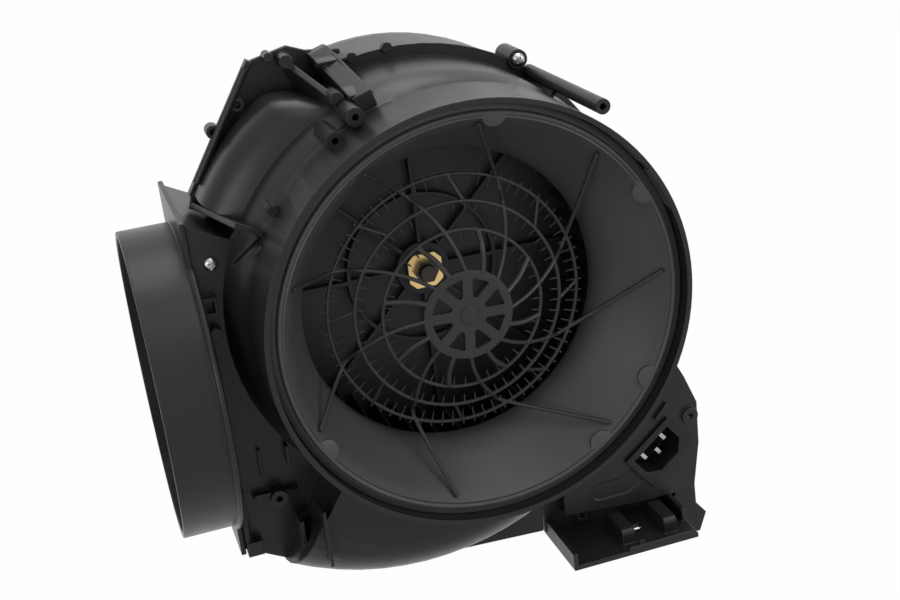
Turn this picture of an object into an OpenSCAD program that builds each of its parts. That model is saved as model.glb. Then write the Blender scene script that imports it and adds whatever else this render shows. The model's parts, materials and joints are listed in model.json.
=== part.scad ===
// Double-inlet centrifugal blower for a range hood.
// Origin: centre of the front inlet ring, on its front face.
// +X right, +Y from the front inlet to the back, +Z up, millimetres.

/* [Inlet] */
// Outer radius of the front inlet ring
ring_r = 104; // [100:0.5:106]
// Wall of the front inlet ring
ring_wall = 2.5; // [1.5:0.1:4]
// Sideways place of the fan axis from the ring's centre
fan_x = -5.8; // [-7:0.1:0]
// Height of the fan axis from the ring's centre
fan_z = 1.1; // [0:0.1:2]
// Radius of the bell mouth's front edge
bell_r = 95.2; // [93:0.1:97]
// Wall of the bell mouth
bell_wall = 2.2; // [1.5:0.1:3]
// Depth of the bell mouth's front edge behind the ring's face
bell_front_y = 4; // [2:0.5:8]
// Radius of the throat that feeds the impeller
throat_r = 73; // [68:0.5:74]
// Depth of the end of the throat
throat_y = 41; // [38:0.5:42]

/* [Scroll] */
// Radius of the scroll over its first arc
scroll_r = 108; // [107:0.5:112]
// Growth of the scroll's radius to its second arc
scroll_step_1 = 13; // [10:0.5:16]
// Growth of the scroll's radius to its third arc
scroll_step_2 = 21; // [17:0.5:24]
// Wall of the housing halves
wall = 2.5; // [2:0.1:3.5]
// Depth of the front wall behind the ring's face
front_y = 22; // [20:0.5:24]
// Depth of the plane where the housing halves meet
parting_y = 91; // [89:0.5:95]
// Depth of the back wall's outer face
back_y = 171; // [168:0.5:176]
// Axial depth of the rounded shoulder
shoulder_d = 35; // [30:0.5:38]
// Radial width of the rounded shoulder
shoulder_w = 28; // [24:0.5:30]
// How far the rear half stands outside the front half
rear_step = 4; // [3:0.1:5]
// Width of the parting flange outside the front half
flange_w = 6; // [5:0.5:8]
// Thickness of the parting flange
flange_t = 2.5; // [2:0.1:4]

/* [Outlet] */
// Distance of the outlet face from the fan axis
outlet_x = 117.5; // [115:0.5:122]
// Height of the outlet's top edge above the fan axis
outlet_top = 56; // [53:0.5:58]
// Depth of the outlet neck's front wall
neck_y = 52; // [48:0.5:56]
// Inside radius of the outlet collar
collar_bore = 75; // [72:0.5:76]
// Wall of the outlet collar
collar_wall = 3; // [2:0.1:4]
// Length of the collar's tube
collar_len = 26; // [22:0.5:32]
// Thickness of the collar's base plate
collar_base = 2.5; // [2:0.1:4]
// Radius of the damper's hinge pin
pin_r = 1.5; // [1.2:0.1:2]
// Thickness of each damper flap
flap_t = 1.6; // [1.2:0.1:2.4]

/* [Guard] */
// Radius of the guard's hub
hub_r = 21.9; // [20:0.1:24]
// Depth of the hub's front face behind the ring's face
hub_y = 10; // [8:0.5:12]
// Thickness of the guard's hub
hub_t = 2.6; // [2:0.1:3.5]
// Radius of the inner guard ring
guard_r1 = 39.1; // [37:0.1:41]
// Radius of the middle guard ring
guard_r2 = 51; // [49:0.1:53]
// Radius of the outer guard ring
guard_r3 = 62.6; // [60:0.1:65]
// How far the guard falls back for each millimetre of radius
guard_slope = 0.42; // [0.36:0.01:0.46]
// Width of the guard's bars
bar_w = 2.2; // [1.6:0.1:3]
// Number of long spiral arms
arm_count = 8; // [6:1:10]

/* [Impeller and motor] */
// Outer radius of the impeller
impeller_r = 91.5; // [88:0.5:94]
// Radial length of a blade
blade_len = 14.5; // [12:0.5:15]
// Thickness of a blade
blade_t = 1.2; // [1:0.1:1.6]
// Number of blades in each row
blade_count = 40; // [30:1:46]
// Half of the impeller's length
impeller_half = 46.5; // [44:0.5:47]
// Radius of the motor shaft
shaft_r = 4; // [3:0.1:5]
// Outside radius of the stator stack
stator_r = 48; // [44:0.5:50]
// Length of the stator stack
stator_len = 28; // [24:0.5:30]
// Radius of the rotor stack
rotor_r = 26; // [24:0.5:28]
// Gap between rotor and stator
air_gap = 0.5; // [0.4:0.05:0.8]
// Number of stator teeth
tooth_count = 12; // [9:3:15]
// Outside radius of each ball bearing
bearing_r = 11; // [10:0.1:12]
// Length of each ball bearing
bearing_len = 7; // [6:0.1:8]

/* [Connections] */
// Long side of the power inlet's mouth
socket_w = 24.3; // [24:0.1:25]
// Short side of the power inlet's mouth
socket_h = 16; // [15.5:0.1:16.5]
// Depth of the power inlet's mouth
socket_depth = 16; // [15:0.5:17]
// Turn of the power inlet in its plate
socket_turn = 38.5; // [36:0.5:41]
// Radius of the long screw pillar
pillar_r = 3.6; // [3.2:0.1:4.2]
// Radius of the screw holes in pillar and bosses
hole_r = 1.6; // [1.3:0.1:2]
// Radius of the front screw bosses
boss_r = 4.4; // [4:0.1:5]

/* [Hidden] */
$fn = 96;

// Colours
black = "#26282a";
dark = "#1c1d1f";
zinc = "#b9bcbf";
brass = "#d8b65a";
copper = "#b5652f";
steel = "#8d9196";

// A hair's overlap that lets cuts pass through
eps = 0.1;
// How far the long cuts run past what they cut
over = 10;
// Clearance between pieces that are fitted together
fit = 0.2;
// Radial running clearance of a shaft or pin
run = 0.05;

// Angles, seen from the front, where the scroll's arcs meet and end
arc_a = 50;
arc_b = -20;
arc_c = -120;
// Angles where the neck's top wall leaves the first arc, and where that arc runs into the last one
tongue_a = 155;
tongue_end = 227.7;

function dir(a) = [cos(a), sin(a)];
scroll_r1 = scroll_r + scroll_step_1;
scroll_r2 = scroll_r1 + scroll_step_2;
scroll_c1 = -scroll_step_1 * dir(arc_a);
scroll_c2 = scroll_c1 - scroll_step_2 * dir(arc_b);
scroll_end = scroll_c2 + scroll_r2 * dir(arc_c);
// The neck's bottom wall leaves the last arc along its tangent
neck_fall = cos(arc_c) / sin(arc_c);
outlet_low = scroll_end[1] + neck_fall * (outlet_x + scroll_end[0]);
neck_back_y = 2 * parting_y - neck_y;

shoulder_steps = 7;
scroll_steps = 72;
// Angle that the end wall takes of the scroll, and the small step where the neck's bottom wall starts
end_wall_a = 1.2;
neck_step = 0.4;
neck_root_r = 60;

// Places on the fan's axis
impeller_y0 = parting_y - impeller_half;
impeller_y1 = parting_y + impeller_half;
disc_t = 3;
disc_y0 = parting_y - disc_t / 2;
disc_y1 = parting_y + disc_t / 2;
rim_t = 3;
bush_r = 9;
bush_y0 = disc_y0 - 9;
bush_y1 = disc_y1 + 4;
clip_t = 1.2;
clip_y0 = bush_y0 - clip_t;
nut_t = 3.2;
nut_r = 6.4;
nut_y0 = clip_y0 - nut_t;
shaft_tip = 2.5;
shaft_y0 = nut_y0 - shaft_tip;
shield_gap = 3;
front_shield_y = bush_y1 + shield_gap;
shield_wall = 2.5;
coil_h = 7;
stator_y0 = front_shield_y + shield_wall + coil_h + 1;
stator_y1 = stator_y0 + stator_len;
rear_shield_y = stator_y1 + coil_h + 6;
bearing_y0 = front_shield_y + shield_wall;
bearing_y1 = rear_shield_y - shield_wall - bearing_len;
shaft_y1 = rear_shield_y - shield_wall - 0.5;
carrier_t = 3;
grommet_r = 6;
grommet_place = 36;

module fan() translate([fan_x, 0, fan_z]) children();
module turn(points) rotate([-90, 0, 0]) rotate_extrude() polygon(points);
module slab(y0, y1) translate([0, y1, 0]) rotate([90, 0, 0]) linear_extrude(y1 - y0) children();
module post(at, y0, y1, r) translate([at[0], y0, at[1]]) rotate([-90, 0, 0]) cylinder(r = r, h = y1 - y0);
module radial(a) rotate([0, -a, 0]) children();
module tube(y0, y1, r0, r1) turn([[r0, y0], [r1, y0], [r1, y1], [r0, y1]]);

// Rounded shoulder of a housing half, from the flat wall outwards: how far it stands out, and its depth
function shoulder(grow, inset, y_wall, side) = [for (i = [0:shoulder_steps])
    let (t = 90 * i / shoulder_steps)
    [grow - shoulder_w + (shoulder_w - inset) * sin(t),
        y_wall + side * (shoulder_d - (shoulder_d - inset) * cos(t))]];

// Outline of the scroll seen from the front, moved out by grow, its two ends drawn in by an angle
first_end_share = 1.5;
function arc_centre(a) = a > arc_a ? [0, 0] : a > arc_b ? scroll_c1 : scroll_c2;
function arc_radius(a) = a > arc_a ? scroll_r : a > arc_b ? scroll_r1 : scroll_r2;
function outline(grow, draw_in) = let (a0 = tongue_end + first_end_share * draw_in, a1 = arc_c + draw_in)
    [for (i = [0:scroll_steps])
        let (a = a0 + (a1 - a0) * i / scroll_steps)
        arc_centre(a) + (arc_radius(a) + grow) * dir(a)];

// Solid dome of a housing half: outlines stacked from the flat wall over the shoulder to the parting plane
module dome(grow, inset, y_wall, side) {
    past = inset > 0 ? side * eps : 0;
    layers = concat(shoulder(grow, inset, y_wall, side), [[grow - inset, parting_y + past]]);
    rings = [for (l = layers) [for (p = outline(l[0], inset > 0 ? end_wall_a : 0)) [p[0], l[1], p[1]]]];
    stack(side > 0 ? rings : [for (i = [len(rings) - 1:-1:0]) rings[i]]);
}
module stack(rings) {
    n = len(rings[0]);
    m = len(rings);
    sides = [for (i = [0:m - 2], j = [0:n - 1], k = [0, 1])
        let (a = i * n + j, b = i * n + (j + 1) % n)
        k == 0 ? [a, a + n, b + n] : [a, b + n, b]];
    polyhedron([for (r = rings, p = r) p],
        concat(sides, [[for (j = [0:n - 1]) j]], [[for (j = [n:-1:1]) (m - 1) * n + j % n]]));
}

// Plan of the outlet neck: its top wall leaves the first arc, its bottom wall is the last arc's tangent
function neck_plan(grow, inset) = let (
    mouth = -outlet_x - (inset > 0 ? eps : 0),
    corner = [mouth, outlet_top],
    tongue = (scroll_r + grow) * dir(tongue_a),
    root = scroll_c2 + (scroll_r2 + grow - neck_step) * dir(arc_c + end_wall_a),
    drop = inset * norm(tongue - corner) / (tongue[0] - corner[0]),
    lift = -inset / sin(arc_c))
    [2 * tongue - corner - [0, drop], corner - [0, drop], [mouth, outlet_low + lift], root + [0, lift],
        neck_root_r * dir(arc_c)];
module neck(grow, inset, side) {
    y = (side > 0 ? neck_y : neck_back_y) + side * inset;
    y_end = parting_y + (inset > 0 ? side * eps : 0);
    slab(min(y, y_end), max(y, y_end)) polygon(neck_plan(grow, inset));
}

// One half of the scroll with its outlet neck, side is 1 for the front half and -1 for the rear half
module shell_half(grow, y_wall, side) difference() {
    union() {
        dome(grow, 0, y_wall, side);
        neck(grow, 0, side);
    }
    dome(grow, wall, y_wall, side);
    neck(grow, wall, side);
}

// Straight foot of the parting flange under the scroll
skirt_points = [[-76, -120], [-70, -158], [-38, -168.8], [3, -171.2], [52, -173.5], [66, -150], [70, -110]];
// Screw bosses on the parting flange, from the fan axis
lug_places = [[62.8, 97], [92, -86.8]];
// Boss of the rear half that shows through an arch in the foot
foot_lug = [-53.5, -160.3];
arch_r = 8;
collar_screw_at = [-109, 36];
lug_r = 5;
lug_t = 4;
screw_r = 1.5;
screw_head_r = 3.4;
screw_head_h = 2.4;
screw_len = 14;

// Half-round nubs on the parting flange's edge, by their angle
nub_angles = [91.7, 100.8];
nub_r = 2.6;

// Fittings outside the neck: a screw boss, a stop boss, ribs, a snap hook and a clip box
neck_seat_y = neck_y + wall / 2;
neck_boss = [-97.2, -88.1];
neck_boss_y = 44;
stop_boss = [-112.6, 2.9];
stop_boss_y = 47;
stop_boss_r = 3;
rib_t = 1.6;
// Each is its lower left corner, its width and height, and the depth of its front face
neck_ribs = [[[-109.7, -87], [22.8, rib_t], 48], [[-103.7, -77.7], [rib_t, 15.6], 49.5],
    [[-90.1, -72.7], [rib_t, 10.5], 47]];
snap_hook = [[[-116.9, -112], [3.4, 29], 48], [[-116.9, -117], [8, 7.5], 46]];
clip_box = [[-116.5, 12], [7, 9], 47];
clip_box_wall = 1.5;

// Open clip at the scroll's lower left end: side plate, back plate and floor, with an edge rib beside it
cable_clip = [-91, 32, -117];
cable_clip_size = [20, 15, 20];
cable_clip_t = 2;
edge_rib = [-81.7, 16, -116];
edge_rib_size = [rib_t, 12, 30];

// Peg on the upper left shoulder
peg_at = [-80, 62.5];
peg_y = 27;
peg_r = 2.6;

// Long pillar and twin bosses that face the front
pillar_at = [69, 89.5];
pillar_tip = 3;
pillar_web = 2;
pillar_end = parting_y - flange_t / 2;
boss_places = [[-38.4, 99.4], [-48.8, 90.5]];
boss_front_y = 20;
boss_back_y = 46;
boss_hole_d = 10;
pillar_hole_y = 20;
ring_back_y = front_y + 28;
ring_bore = ring_r - ring_wall;
bell_hole_r = bell_r - 3.2;

module front_shell() difference() {
    fan() shell_half(0, front_y, 1);
    fan() post(collar_screw_at, neck_y - eps, neck_y + wall + eps, screw_r + run);
    post([0, 0], front_y - over, ring_back_y, bell_hole_r);
}
module front_flange() fan() difference() {
    union() {
        slab(parting_y - flange_t, parting_y) {
            polygon(outline(flange_w, 0));
            polygon(skirt_points);
        }
        for (p = lug_places) post(p, parting_y - lug_t, parting_y, lug_r);
        for (a = nub_angles) post((scroll_r + flange_w) * dir(a), parting_y - lug_t, parting_y, nub_r);
    }
    slab(parting_y - over, parting_y + over) {
        polygon(outline(-wall / 2, 0));
        polygon(neck_plan(0, wall / 2));
    }
    for (p = lug_places) post(p, parting_y - over, parting_y + over, hole_r + fit);
    post(foot_lug, parting_y - over, parting_y + over, arch_r);
}
module front_ring() difference() {
    tube(0, ring_back_y, ring_bore, ring_r);
    fan() dome(0, wall / 2, front_y, 1);
}
module front_posts() fan() difference() {
    union() {
        post(pillar_at, -pillar_tip, pillar_end, pillar_r);
        radial(atan2(pillar_at[1], pillar_at[0]))
            translate([scroll_r - wall / 2, ring_back_y, -pillar_web / 2])
                cube([norm(pillar_at) - scroll_r + wall / 2, pillar_end - ring_back_y, pillar_web]);
        for (p = boss_places) post(p, boss_front_y, boss_back_y, boss_r);
        post(peg_at, peg_y, boss_back_y, peg_r);
        translate(cable_clip) {
            cube([cable_clip_t, cable_clip_size[1], cable_clip_size[2]]);
            translate([0, cable_clip_size[1] - cable_clip_t, cable_clip_t])
                cube([cable_clip_size[0], cable_clip_t, cable_clip_size[2] - 2 * cable_clip_t]);
            cube([cable_clip_size[0], cable_clip_size[1], cable_clip_t]);
        }
        translate(edge_rib) cube(edge_rib_size);
    }
    dome(0, wall / 2, front_y, 1);
    for (p = boss_places) post(p, boss_front_y - eps, boss_front_y + boss_hole_d, hole_r);
    post(pillar_at, -pillar_tip - eps, pillar_hole_y, hole_r);
}
module on_neck(at, size, y) translate([at[0], y, at[1]]) cube([size[0], neck_seat_y - y, size[1]]);
module neck_fittings() fan() difference() {
    union() {
        post(neck_boss, neck_boss_y, neck_seat_y, boss_r);
        post(stop_boss, stop_boss_y, neck_seat_y, stop_boss_r);
        for (r = concat(neck_ribs, snap_hook, [clip_box])) on_neck(r[0], r[1], r[2]);
    }
    post(neck_boss, neck_boss_y - eps, neck_y, hole_r);
    translate([clip_box[0][0] + clip_box_wall, clip_box[2] - eps, clip_box[0][1] + clip_box_wall])
        cube([clip_box[1][0] - 2 * clip_box_wall, neck_y - clip_box[2], clip_box[1][1] - 2 * clip_box_wall]);
}
module front_housing() color(black) {
    front_shell();
    front_flange();
    front_ring();
    front_posts();
    neck_fittings();
}

// Back opening: a short bell mouth that is part of the rear half
back_bell_r = 90;
back_rim_h = 0.5;
back_throat_y = 2 * parting_y - throat_y;
back_bell = [[throat_r, back_throat_y], [throat_r + 2, back_throat_y + 12], [throat_r + 7, back_y - 8],
    [back_bell_r, back_y], [back_bell_r + 4, back_y], [back_bell_r + 4, back_y - wall],
    [throat_r + 9, back_y - 8 - wall], [throat_r + wall + 2, back_throat_y + 12],
    [throat_r + wall, back_throat_y]];
lug_len = 16;
// Web that ties the foot's boss to the scroll
foot_web_r = 148;
foot_web_len = 20;
foot_web_w = 8;

module rear_housing() color(black) difference() {
    union() {
        fan() difference() {
            shell_half(rear_step, back_y - back_rim_h, -1);
            post([0, 0], back_y - shoulder_d, back_y + eps, back_bell_r + 1);
        }
        fan() turn(back_bell);
        fan() for (p = lug_places) post(p, parting_y, parting_y + lug_len, lug_r);
        fan() post(foot_lug, parting_y - lug_t, parting_y + lug_len, lug_r);
        fan() radial(atan2(foot_lug[1], foot_lug[0]))
            translate([foot_web_r, parting_y + back_rim_h, -foot_web_w / 2])
                cube([foot_web_len, lug_len - lug_t / 2, foot_web_w]);
    }
    fan() for (p = lug_places) post(p, parting_y - eps, parting_y + screw_len, screw_r + run);
}

// Bell mouth: rings of points lofted from the inlet ring's centre to the fan axis
bell_seat_y = front_y;
// Each point of the section is a radius, a depth and its share of the shift to the fan axis
bell_section = [
    [bell_r + bell_wall, bell_seat_y, 0], [bell_r + bell_wall, bell_front_y, 0],
    [bell_r, bell_front_y, 0], [bell_r - 5, bell_front_y + 6, 0],
    [throat_r + 10, bell_front_y + 17, 0.5], [throat_r + 4.6, throat_y - 12, 0.8],
    [throat_r + 1.2, throat_y - 6, 0.95], [throat_r, throat_y, 1],
    [throat_r + bell_wall, throat_y, 1], [throat_r + bell_wall + 1.4, throat_y - 5.5, 0.95],
    [throat_r + bell_wall + 5, throat_y - 11, 0.8], [throat_r + bell_wall + 10.5, bell_front_y + 18, 0.5],
    [bell_r - 3, bell_front_y + 9, 0], [bell_r, bell_front_y + 6, 0], [bell_r, bell_seat_y, 0]];
bell_fn = 72;

module loft(section, n) {
    m = len(section);
    points = [for (p = section, j = [0:n - 1])
        [p[2] * fan_x + p[0] * cos(360 * j / n), p[1], p[2] * fan_z + p[0] * sin(360 * j / n)]];
    faces = [for (i = [0:m - 1], j = [0:n - 1], k = [0, 1])
        let (a = i * n + j, b = i * n + (j + 1) % n, c = ((i + 1) % m) * n + (j + 1) % n,
            d = ((i + 1) % m) * n + j)
        k == 0 ? [a, b, c] : [a, c, d]];
    polyhedron(points, faces);
}

module bell_mouth() color(black) loft(bell_section, bell_fn);

// Domed guard
guard_dome = 0.0018;
guard_fn = 72;
arm_base = -3.5;
arm_twist = 23;
arm_sweep = 39;
arm_skew = 12.5;
arm_skew_at = -25;
arm_steps = 5;
arm_end_gap = 4.2;
spoke_w = 2.6;
hub_boss_r = 4;
hub_boss_h = 1;
window_r0 = 9;
window_r1 = 18.6;
window_in = 1.2;
window_out = 5.4;
window_round = 1.5;
tick_w = 1.2;
tick_lift = 0.3;
// Rows of short ribs on the rings: radius, length inwards, length outwards and count
tick_rows = [[guard_r3, 5.5, 2.2, 40], [guard_r2, 5, 0.5, 32], [guard_r1, 5, 0.5, 24]];
// Angles that a spoke and a rib start at and turn through, from the arm before them
spoke_turn = 9;
rib_start = 17;
rib_turn = 6;
function guard_y(r) = hub_y + guard_slope * (r - hub_r) + guard_dome * pow(r - hub_r, 2);
function on_guard(r, a) = [fan_x + r * cos(a), guard_y(r), fan_z + r * sin(a)];
function arm_start(k) = arm_base + 360 * k / arm_count;
function arm_in(k, s) =
    let (r = hub_r - 1 + s * (guard_r3 - hub_r + 1)) on_guard(r, arm_start(k) + arm_twist * s);
function arm_out(k) =
    let (a = arm_start(k) + arm_sweep + arm_skew * cos(arm_start(k) - arm_skew_at), r = bell_r - arm_end_gap)
    [r * cos(a), bell_front_y + 1, r * sin(a)];

module bead(p, w) translate(p) rotate([-90, 0, 0]) cylinder(d = w, h = bar_w, $fn = 6);
module bar(p, q, w) hull() {
    bead(p, w);
    bead(q, w);
}
module guard_ring(r) translate([fan_x, guard_y(r), fan_z]) rotate([-90, 0, 0])
    rotate_extrude($fn = guard_fn) translate([r - bar_w / 2, 0]) square([bar_w, bar_w]);
module ticks(r, inward, outward, count) for (i = [0:count - 1])
    translate([fan_x, guard_y(r), fan_z]) radial(360 * (i + 0.5) / count)
        translate([r - inward, tick_lift, -tick_w / 2]) cube([inward + outward, tick_w, tick_w]);

module inlet_guard() color(black) {
    fan() difference() {
        union() {
            post([0, 0], hub_y, hub_y + hub_t, hub_r);
            post([0, 0], hub_y - hub_boss_h, hub_y + hub_t / 2, hub_boss_r);
        }
        for (k = [0:arm_count - 1]) radial(arm_base + 360 * (k + 0.5) / arm_count)
            slab(hub_y - eps, hub_y + hub_t + eps)
                polygon([[window_r0, -window_in], [window_r1 - window_round, -window_out],
                    [window_r1, window_round - window_out], [window_r1, window_out - window_round],
                    [window_r1 - window_round, window_out], [window_r0, window_in]]);
    }
    for (r = [guard_r1, guard_r2, guard_r3]) guard_ring(r);
    for (k = [0:arm_count - 1]) {
        for (i = [0:arm_steps - 1]) bar(arm_in(k, i / arm_steps), arm_in(k, (i + 1) / arm_steps), bar_w);
        bar(arm_in(k, 1), arm_out(k), bar_w);
        a = arm_start(k + 0.5);
        bar(on_guard(hub_r - 1, a), on_guard(guard_r1, a + spoke_turn), spoke_w);
        bar(on_guard(guard_r2, a + rib_start), on_guard(guard_r3, a + rib_start + rib_turn), bar_w);
    }
    for (t = tick_rows) ticks(t[0], t[1], t[2], t[3]);
}

// Open pocket for the control box on the upper left of the scroll
pocket_low = [-108.4, 61.7];
pocket_high = [-71.9, 118.9];
pocket_crest = [-52.4, 123.3];
pocket_corner = [-43.6, 119.7];
// Angles about the fan axis where the rear plate starts and ends
pocket_low_a = 154;
pocket_high_a = 103;
pocket_wall = 3;
pocket_back_y = parting_y - flange_t;
pocket_rail = 6;
pocket_mid_y = 58;
rail_over = 1;
// Screw bosses on the rear plate, the top peg, and the bosses at both ends of the ledge bar with their depths
rail_bosses = [[-80.7, 100.8], [-93.9, 90.2]];
rail_boss_y = 79;
pocket_boss_r = 3.4;
top_peg = [-62.7, 120.5];
top_peg_y = 78;
top_peg_r = 2.4;
ledge_bosses = [[-41.6, 104.6, 38, 50], [-55.4, 117.9, 74, 86]];
// Outlines of the three plates that stand on the scroll, as radius and depth
fin_root = 90;
fin_back = 87;
floor_fin = [[fin_root, 31.5], [113.3, 31.5], [123.5, fin_back], [fin_root, fin_back]];
ledge_fin = [[fin_root, 40], [112.4, 40], [130, 82], [130, fin_back], [fin_root, fin_back]];
latch_fin = [[fin_root, 36], [110, 36], [125.9, 80], [125.9, fin_back], [fin_root, fin_back]];
latch_w = 10;
// A leaning plate that stands on the scroll: its angle, lean, thickness and its outline as radius and depth
module fin(a, lean, t, points) radial(a) translate([0, pocket_mid_y, 0]) rotate([lean, 0, 0])
    translate([0, 0, -t / 2]) linear_extrude(t) polygon([for (p = points) [p[0], p[1] - pocket_mid_y]]);

module pocket_frame() color(black) fan() difference() {
    union() {
        slab(pocket_back_y - pocket_wall, pocket_back_y)
            polygon([88 * dir(pocket_low_a), 123 * dir(pocket_low_a), pocket_low, pocket_high, pocket_crest,
                pocket_corner, 121 * dir(pocket_high_a), 99 * dir(pocket_high_a)]);
        translate([pocket_low[0], pocket_back_y - pocket_rail, pocket_low[1]])
            radial(atan2(pocket_high[1] - pocket_low[1], pocket_high[0] - pocket_low[0]))
                translate([-rail_over, -rail_over, -pocket_wall / 2])
                    cube([norm(pocket_high - pocket_low) + 2 * rail_over, pocket_rail, pocket_wall]);
        fin(151.1, 8.5, pocket_wall, floor_fin);
        fin(113.4, 10, pocket_wall, ledge_fin);
        fin(107.1, 4.4, latch_w, latch_fin);
        for (p = rail_bosses) post(p, rail_boss_y, fin_back, pocket_boss_r);
        for (p = ledge_bosses) post(p, p[2], p[3], pocket_boss_r);
        post(top_peg, top_peg_y, fin_back, top_peg_r);
    }
    turn(concat([[0, front_y]], shoulder(scroll_r + fit, 0, front_y, 1),
        [[scroll_r + fit, parting_y], [0, parting_y]]));
    for (p = boss_places) post(p, boss_front_y - over, boss_back_y + 1, boss_r + fit);
    for (p = rail_bosses) post(p, rail_boss_y - eps, rail_boss_y + pocket_boss_r, hole_r);
}

// Connector plate at the lower right, with its socket and tray
plate_y = 19;
plate_t = 2.9;
plate_points = [[100, -50], [106, -62], [112.3, -77.7], [112.3, -101], [108.5, -126.5], [82, -127],
    [36, -123.5], [36, -95]];
plate_boss = [107.4, -83.9];
plate_boss_h = 2;
// Short bar beside the ring, from its lower end, and the shallow recess that leads to the power inlet
plate_bar = [89, -82.2];
plate_bar_size = [10.6, 2.4];
plate_bar_h = 2;
plate_bar_turn = 47.3;
recess_d = 0.6;
recess_r = 4.7;
recess_end = [55.7, -114.7];
recess_mouth = [[66, -110], [73, -106], [79.8, -114.6], [70.5, -119.4]];
socket_at = [89.4, -100.2];
socket_wall = 1.6;
socket_flange = 2;
flange_over = 1.9;
socket_corner = 5.6;
// The two corners nearest the earth pin are cut off
function socket_outline(g) = let (w = socket_w / 2 + g, h = socket_h / 2 + g)
    [[-w, h], [w, h], [w, socket_corner - h], [w - socket_corner, -h], [socket_corner - w, -h],
        [-w, socket_corner - h]];
module at_socket() translate([socket_at[0], 0, socket_at[1]]) radial(socket_turn) children();

module connector_plate() color(black) difference() {
    union() {
        slab(plate_y, plate_y + plate_t) polygon(plate_points);
        post(plate_boss, plate_y - plate_boss_h, plate_y + plate_t, boss_r);
        translate([plate_bar[0], plate_y - plate_bar_h, plate_bar[1]]) radial(plate_bar_turn)
            cube([plate_bar_size[0], plate_bar_h + plate_t / 2, plate_bar_size[1]]);
    }
    post([0, 0], plate_y - over, plate_y + over, ring_r + fit);
    post(plate_boss, plate_y - over, plate_y + over, hole_r);
    slab(plate_y - eps, plate_y + recess_d) {
        translate(recess_end) circle(r = recess_r);
        polygon(concat([recess_end - [0, recess_r], recess_end + [0, recess_r]], recess_mouth));
    }
    at_socket() slab(plate_y - eps, plate_y + plate_t + eps) polygon(socket_outline(socket_wall + fit));
}

module power_inlet() color(dark) at_socket() difference() {
    union() {
        slab(plate_y - socket_flange, plate_y)
            square([socket_w, socket_h] + 2 * (socket_wall + flange_over) * [1, 1], center = true);
        slab(plate_y - eps, plate_y + socket_depth + 2) polygon(socket_outline(socket_wall));
    }
    slab(plate_y - socket_flange - eps, plate_y + socket_depth - socket_flange) polygon(socket_outline(0));
    for (p = pin_places) translate([p[0] - blade_w / 2 - run, plate_y, p[1] - blade_h / 2 - run])
        cube([blade_w + 2 * run, socket_depth + 10, blade_h + 2 * run]);
}

blade_w = 2;
blade_h = 4;
pin_places = [[-7, 2], [7, 2], [0, -2]];
pin_front_y = plate_y + 3.5;
pin_tail = 8;

module power_pins() color(zinc) at_socket() for (p = pin_places)
    translate([p[0] - blade_w / 2, pin_front_y, p[1] - blade_h / 2])
        cube([blade_w, socket_depth + pin_tail, blade_h]);

tray_x0 = 28;
tray_x1 = 96;
tray_front_y = -9;
tray_back_y = 32;
tray_z = -135.4;
tray_t = 2.4;
tray_shelf_z = -122.4;
tray_side_h = 7;
hook_places = [61, 84];
hook_w = 7;
hook_h = 8;
hook_d = 20;
hook_r = 2.5;
hook_y = -2;
tray_notch = 14;
tray_lip = [58, 1.6, 2];
tray_slot = [67, 9];
tray_slot_size = [6, 4.5];
tray_hole = [68, -4];
tray_hole_r = 1.8;
fin_points = [[104, -120], [110, -120], [110.5, -138], [116, -145], [112, -155.5], [105, -155], [100, -137.8],
    [96, -137.8], [96, -134]];

module cable_tray() color(black) difference() {
    union() {
        translate([tray_x0, tray_front_y, tray_z - tray_t])
            cube([tray_x1 - tray_x0, tray_back_y - tray_front_y, tray_t]);
        translate([tray_x0, tray_back_y - tray_t, tray_z - tray_t])
            cube([tray_x1 - tray_x0, tray_t, tray_shelf_z - tray_z + tray_t]);
        translate([tray_x0 + 8, plate_y + plate_t, tray_shelf_z - tray_t])
            cube([tray_x1 - tray_x0, tray_back_y - plate_y - plate_t, tray_t]);
        translate([tray_x0, tray_front_y, tray_z]) cube([tray_t, tray_back_y - tray_front_y, tray_side_h]);
        translate([tray_x1 - tray_t, tray_front_y + tray_notch, tray_z])
            cube([tray_t, tray_back_y - tray_front_y - tray_notch, tray_side_h]);
        translate([tray_lip[0], tray_front_y, tray_z - tray_t / 2])
            cube([tray_x1 - tray_lip[0] - tray_t, tray_lip[1], tray_lip[2] + tray_t / 2]);
        for (x = hook_places) translate([x - hook_w / 2, hook_y, tray_z - tray_t / 2])
            rotate([90, 0, 90]) linear_extrude(hook_w) hook_profile();
        slab(plate_y + plate_t, plate_y + plate_t + tray_t) polygon(fin_points);
    }
    translate([tray_slot[0], tray_slot[1], tray_z - over])
        cube([tray_slot_size[0], tray_slot_size[1], over + tray_t]);
    translate([tray_hole[0], tray_hole[1], tray_z - over]) cylinder(r = tray_hole_r, h = over + tray_t);
}
// Side view of a hook: a block with a rounded front edge
module hook_profile() let (h = hook_h + tray_t / 2) {
    square([hook_d, h - hook_r]);
    translate([hook_r, 0]) square([hook_d - hook_r, h]);
    translate([hook_r, h - hook_r]) circle(r = hook_r);
}

// Outlet collar, along -X, on a base plate that closes the neck's mouth round the tube
collar_z = -33;
base_over = 2;
module outlet() translate([fan_x, parting_y, fan_z + collar_z]) children();
module outward(d0, d1) rotate([0, -90, 0]) translate([0, 0, d0]) linear_extrude(d1 - d0) children();
module neck_mouth(grow) translate([outlet_low - collar_z - grow, neck_y - parting_y - grow])
    square([outlet_top - outlet_low + 2 * grow, neck_back_y - neck_y + 2 * grow]);
collar_r = collar_bore + collar_wall;
base_d = outlet_x + collar_base;
flap_d = base_d + 7;

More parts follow.
